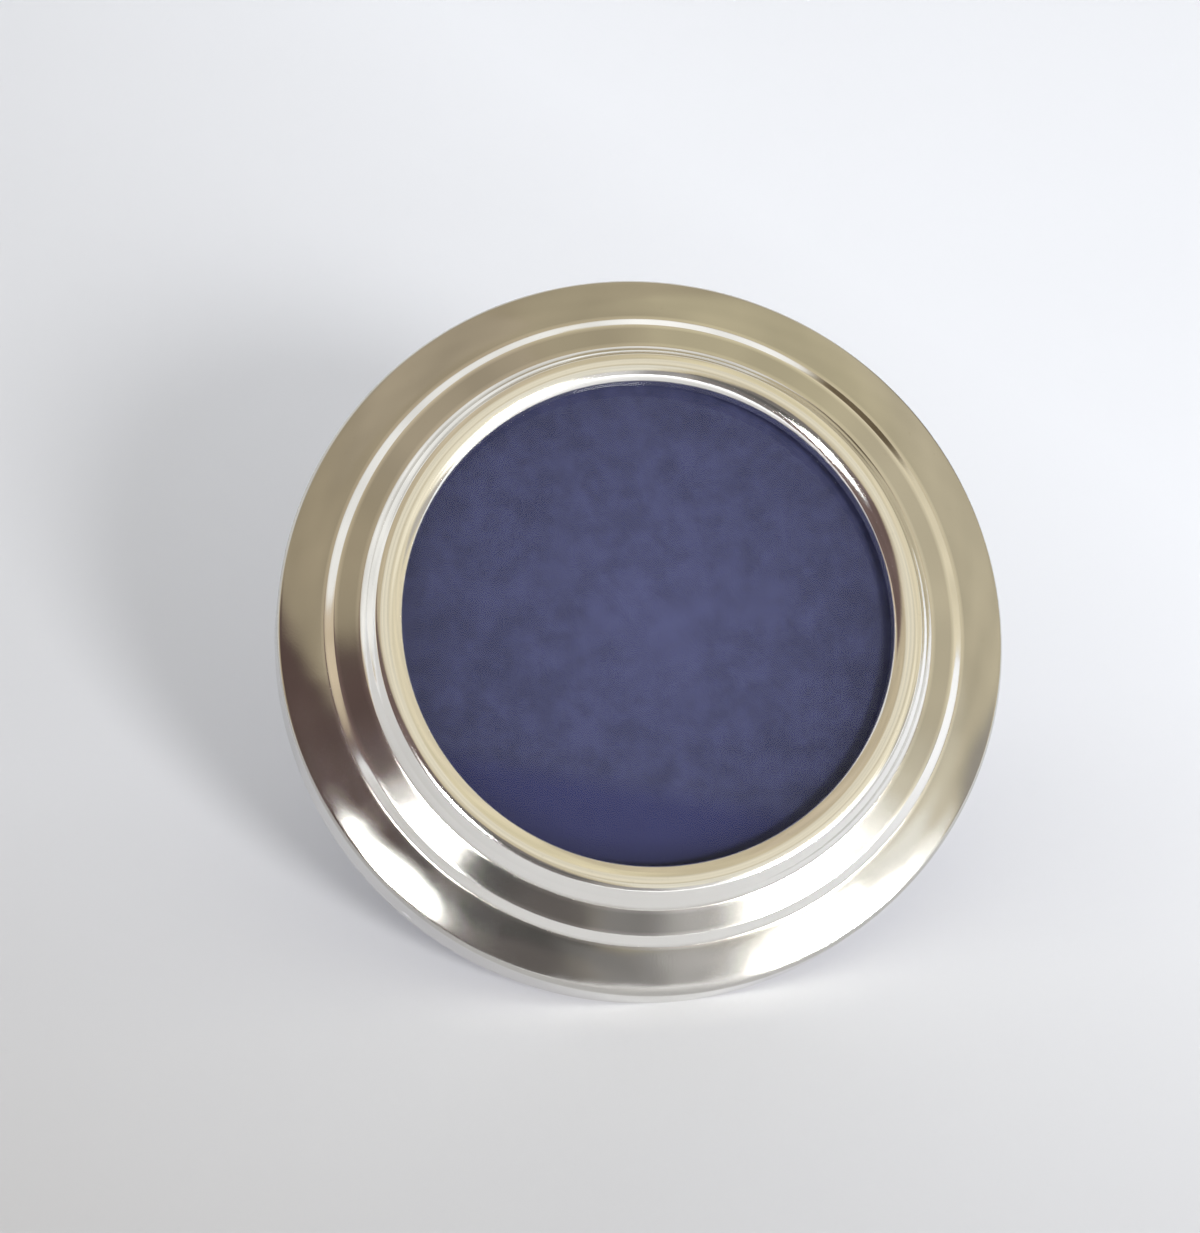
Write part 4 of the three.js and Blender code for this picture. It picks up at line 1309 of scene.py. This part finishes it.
# What the silver mirrors: patches laid over the ceiling's colour in turn. Each has, in degrees, its left and
# right turn, its low and high height and the width of its soft edge, and then its colour.
CEILING = (0.57, 0.50, 0.355)
ROOM = {
    "ceiling_left": (-170, -25, 30, 90, 30, (0.51, 0.435, 0.31)),
    "ceiling_high_left": (-150, -60, 62, 90, 10, (0.57, 0.49, 0.365)),
    "ceiling_right": (52, 125, 44, 78, 14, (0.70, 0.63, 0.44)),
    "right_wall": (40, 128, -20, 50, 14, (0.71, 0.64, 0.475)),
    "bright_wall": (20, 52, 10, 40, 8, (0.84, 0.78, 0.62)),
    "left_wall": (-80, -18, -20, 41, 6, (0.135, 0.09, 0.083)),
    "ceiling_front": (-38, 50, 45, 76, 12, (0.74, 0.69, 0.56)),
    "far_left_wall": (-100, -78, -20, 30, 8, (0.58, 0.48, 0.35)),
    "rear_right_wall": (122, 139, -20, 27, 5, (0.12, 0.09, 0.055)),
    "rear_white_left": (-200, -98, -20, 47, 5, (0.84, 0.84, 0.83)),
    "rear_white_right": (139, 200, -20, 43, 4, (0.95, 0.95, 0.94)),
    "dark_front": (-26, -3, -20, 33, 7, (0.16, 0.145, 0.14)),
    "darkest_front": (-24, 0, 10.5, 20, 4, (0.09, 0.087, 0.085)),
    "grey_front_left": (-4, 8, -20, 15, 5, (0.30, 0.29, 0.29)),
    "grey_front_right": (6, 18, -20, 15, 5, (0.60, 0.59, 0.59)),
    "front_lintel": (4, 24, 15.5, 40, 5, (0.76, 0.73, 0.63)),
    "grey_post": (54, 68, -20, 17, 6, (0.45, 0.42, 0.38)),
    "right_glow": (17, 51, -20, 10.5, 6, (1.35, 1.35, 1.31)),
    "right_glow_high": (18, 44, 8, 19, 6, (1.25, 1.24, 1.17)),
    "right_window_low": (22, 41, -20, 5.5, 3, (80.0, 80.0, 78.0)),
    "right_window_high": (22.5, 30, 5, 13, 3, (18.0, 18.0, 17.5)),
    "left_glow": (-41, -25, 8, 22, 5, (1.3, 1.3, 1.3)),
    "left_window": (-37, -28, 9.5, 18, 3, (100.0, 100.0, 100.0)),
}


def room_colours(azimuth, elevation):
    """Colour of the room in each direction: the ceiling's, with each patch laid over it by a smooth step,
    and all of it a little uneven."""
    turn, height = np.degrees(azimuth), np.degrees(elevation)
    uneven, run = 0.1, 0.3

    def step(value, edge, soft):
        t = np.clip((value - edge) / soft + 0.5, 0.0, 1.0)
        return t * t * (3.0 - 2.0 * t)

    shade = np.broadcast_to(np.array(CEILING), (*turn.shape, 3))
    for left, right, low, high, soft, tone in ROOM.values():
        share = step(turn, left, soft) * step(-turn, -right, soft)
        share = (share * step(height, low, soft) * step(-height, -high, soft))[..., None]
        shade = shade * (1.0 - share) + np.array(tone) * share
    return shade * (1.0 + ripple(direction(azimuth, elevation), uneven, run))[..., None]


def add_room(stage, middle):
    """A dome that glows like a room, mirrored by the silver but not seen by the camera:
    its radius times the direction of each turn and height."""
    turn = np.linspace(-math.pi, math.pi, ROOM_TURNS)
    height = np.linspace(-stage.room_foot, math.pi / 2, ROOM_HEIGHTS)
    azimuth, elevation = np.meshgrid(turn, height)
    points = middle + stage.room_radius * direction(azimuth, elevation)
    index = np.arange(azimuth.size).reshape(azimuth.shape)
    cells = np.stack([index[:-1, :-1], index[1:, :-1], index[1:, 1:], index[:-1, 1:]], axis=-1)
    mesh = bpy.data.meshes.new("studio_room")
    mesh.from_pydata(points.reshape(-1, 3), [], cells.reshape(-1, 4).tolist())
    shade = room_colours(azimuth, elevation).reshape(-1, 3)
    layer = mesh.attributes.new("room", "FLOAT_COLOR", "POINT")
    layer.data.foreach_set("color", np.column_stack([shade, np.ones(len(shade))]).astype(np.float32).ravel())
    room = linked("studio_room", mesh, glow("room_light", "room"))
    room.visible_camera = False
    room.visible_diffuse = False
    room.visible_transmission = False
    room.visible_shadow = False


def add_floor(stage, finish):
    """A square floor at the frame's foot."""
    half = stage.floor_size
    corners = [(-half, -half, 0.0), (half, -half, 0.0), (half, half, 0.0), (-half, half, 0.0)]
    mesh = bpy.data.meshes.new("studio_floor")
    mesh.from_pydata(corners, [], [(0, 1, 2, 3)])
    linked("studio_floor", mesh, floor_with_painted_light(finish, stage))


def add_key_lamp(stage, middle):
    """A round lamp that faces the frame."""
    data = bpy.data.lights.new("key_lamp", "AREA")
    data.shape = "DISK"
    data.size = stage.key_size
    data.energy = stage.key_power
    lamp = bpy.data.objects.new("key_lamp", data)
    lamp.location = middle + stage.key_distance * direction(stage.key_azimuth, stage.key_elevation)
    lamp.rotation_euler = (math.pi / 2 - stage.key_elevation, 0.0, stage.key_azimuth)
    lamp.visible_camera = False
    lamp.visible_glossy = False
    bpy.context.scene.collection.objects.link(lamp)


def add_camera(stage, middle):
    """The camera, set off sideways so that the rim's middle lies where the picture has it."""
    back = direction(stage.azimuth, stage.elevation)
    right = np.array([math.cos(stage.azimuth), math.sin(stage.azimuth), 0.0])
    up = np.cross(back, right)
    data = bpy.data.cameras.new("camera")
    data.sensor_fit = "HORIZONTAL"
    data.sensor_width = stage.sensor
    data.lens = stage.focal
    data.clip_start = stage.clip_near
    data.clip_end = stage.clip_far
    camera = bpy.data.objects.new("camera", data)
    camera.location = middle + stage.distance * back - stage.aim_right * right + stage.aim_down * up
    camera.rotation_euler = (math.pi / 2 - stage.elevation, 0.0, stage.azimuth)
    bpy.context.scene.collection.objects.link(camera)
    bpy.context.scene.camera = camera


def white_world(stage):
    """A world that the camera sees as white, and that lights the pieces more from near the floor."""
    world = bpy.data.worlds.new("white_world")
    world.use_nodes = True
    tree = world.node_tree
    rays = tree.nodes.new("ShaderNodeLightPath").outputs
    first_seen = math_node(tree, "LESS_THAN", rays["Diffuse Depth"], 0.5)
    through = math_node(tree, "MULTIPLY", rays["Is Transmission Ray"], first_seen)
    seen = math_node(tree, "MAXIMUM", rays["Is Camera Ray"], rays["Is Glossy Ray"])
    seen = math_node(tree, "MAXIMUM", seen, through)
    towards = tree.nodes.new("ShaderNodeTexCoord").outputs["Generated"]
    height = node(tree, "ShaderNodeSeparateXYZ", {"Vector": towards}).outputs["Z"]
    light = spread(tree, height, 0.0, stage.low_top, stage.ambient * (1.0 + stage.low_share), stage.ambient)
    strength = spread(tree, seen, 0.0, 1.0, light, 1.0)
    fill(tree, tree.nodes["Background"], {"Color": (1.0, 1.0, 1.0), "Strength": strength})
    return world


class PHOTO_FRAME_OT_stage(bpy.types.Operator):
    """Sets the floor, the room, the lamp, the camera and the white world"""

    bl_idname = "photo_frame.stage"
    bl_label = "Stage"

    def execute(self, context):
        stage = context.scene.frame_stage
        middle = places(context.scene).origin
        add_floor(stage, context.scene.frame_finish)
        add_room(stage, middle)
        add_key_lamp(stage, middle)
        add_camera(stage, middle)
        context.scene.world = white_world(stage)
        context.scene.view_settings.view_transform = "Standard"
        return {"FINISHED"}


class PHOTO_FRAME_PT_panel(bpy.types.Panel):
    """Lists the sizes, colours and pieces of the photo frame"""

    bl_idname = "PHOTO_FRAME_PT_panel"
    bl_label = "Photo frame"
    bl_space_type = "VIEW_3D"
    bl_region_type = "UI"
    bl_category = "Photo frame"

    def draw(self, context):
        for name, group in GROUPS.items():
            box = self.layout.box()
            box.label(text=group.__doc__)
            for prop in group.__annotations__:
                box.prop(getattr(context.scene, name), prop)
        for operator in OPERATORS:
            self.layout.operator(operator.bl_idname)


GROUPS = {
    "frame_front": FrontSizes,
    "frame_back": BackSizes,
    "frame_hinge": HingeSizes,
    "frame_strut": StrutSizes,
    "frame_finish": Finishes,
    "frame_stage": StageSizes,
}
OPERATORS = (
    PHOTO_FRAME_OT_stage,
    PHOTO_FRAME_OT_silver_front,
    PHOTO_FRAME_OT_rim_pins,
    PHOTO_FRAME_OT_former_ring,
    PHOTO_FRAME_OT_glass,
    PHOTO_FRAME_OT_cards,
    PHOTO_FRAME_OT_back_panel,
    PHOTO_FRAME_OT_hinge,
    PHOTO_FRAME_OT_rivets,
    PHOTO_FRAME_OT_strut,
    PHOTO_FRAME_OT_ribbon,
)
CLASSES = (*GROUPS.values(), *OPERATORS, PHOTO_FRAME_PT_panel)


def register():
    """Registers the classes and hangs the groups of sizes on the scene."""
    for cls in CLASSES:
        bpy.utils.register_class(cls)
    for name, group in GROUPS.items():
        setattr(bpy.types.Scene, name, bpy.props.PointerProperty(type=group))


def unregister():
    """Takes the groups of sizes off the scene and unregisters the classes."""
    for name in GROUPS:
        delattr(bpy.types.Scene, name)
    for cls in reversed(CLASSES):
        bpy.utils.unregister_class(cls)


def main():
    register()
    for operator in OPERATORS:
        group, name = operator.bl_idname.split(".")
        getattr(getattr(bpy.ops, group), name)()


if __name__ == "__main__":
    main()
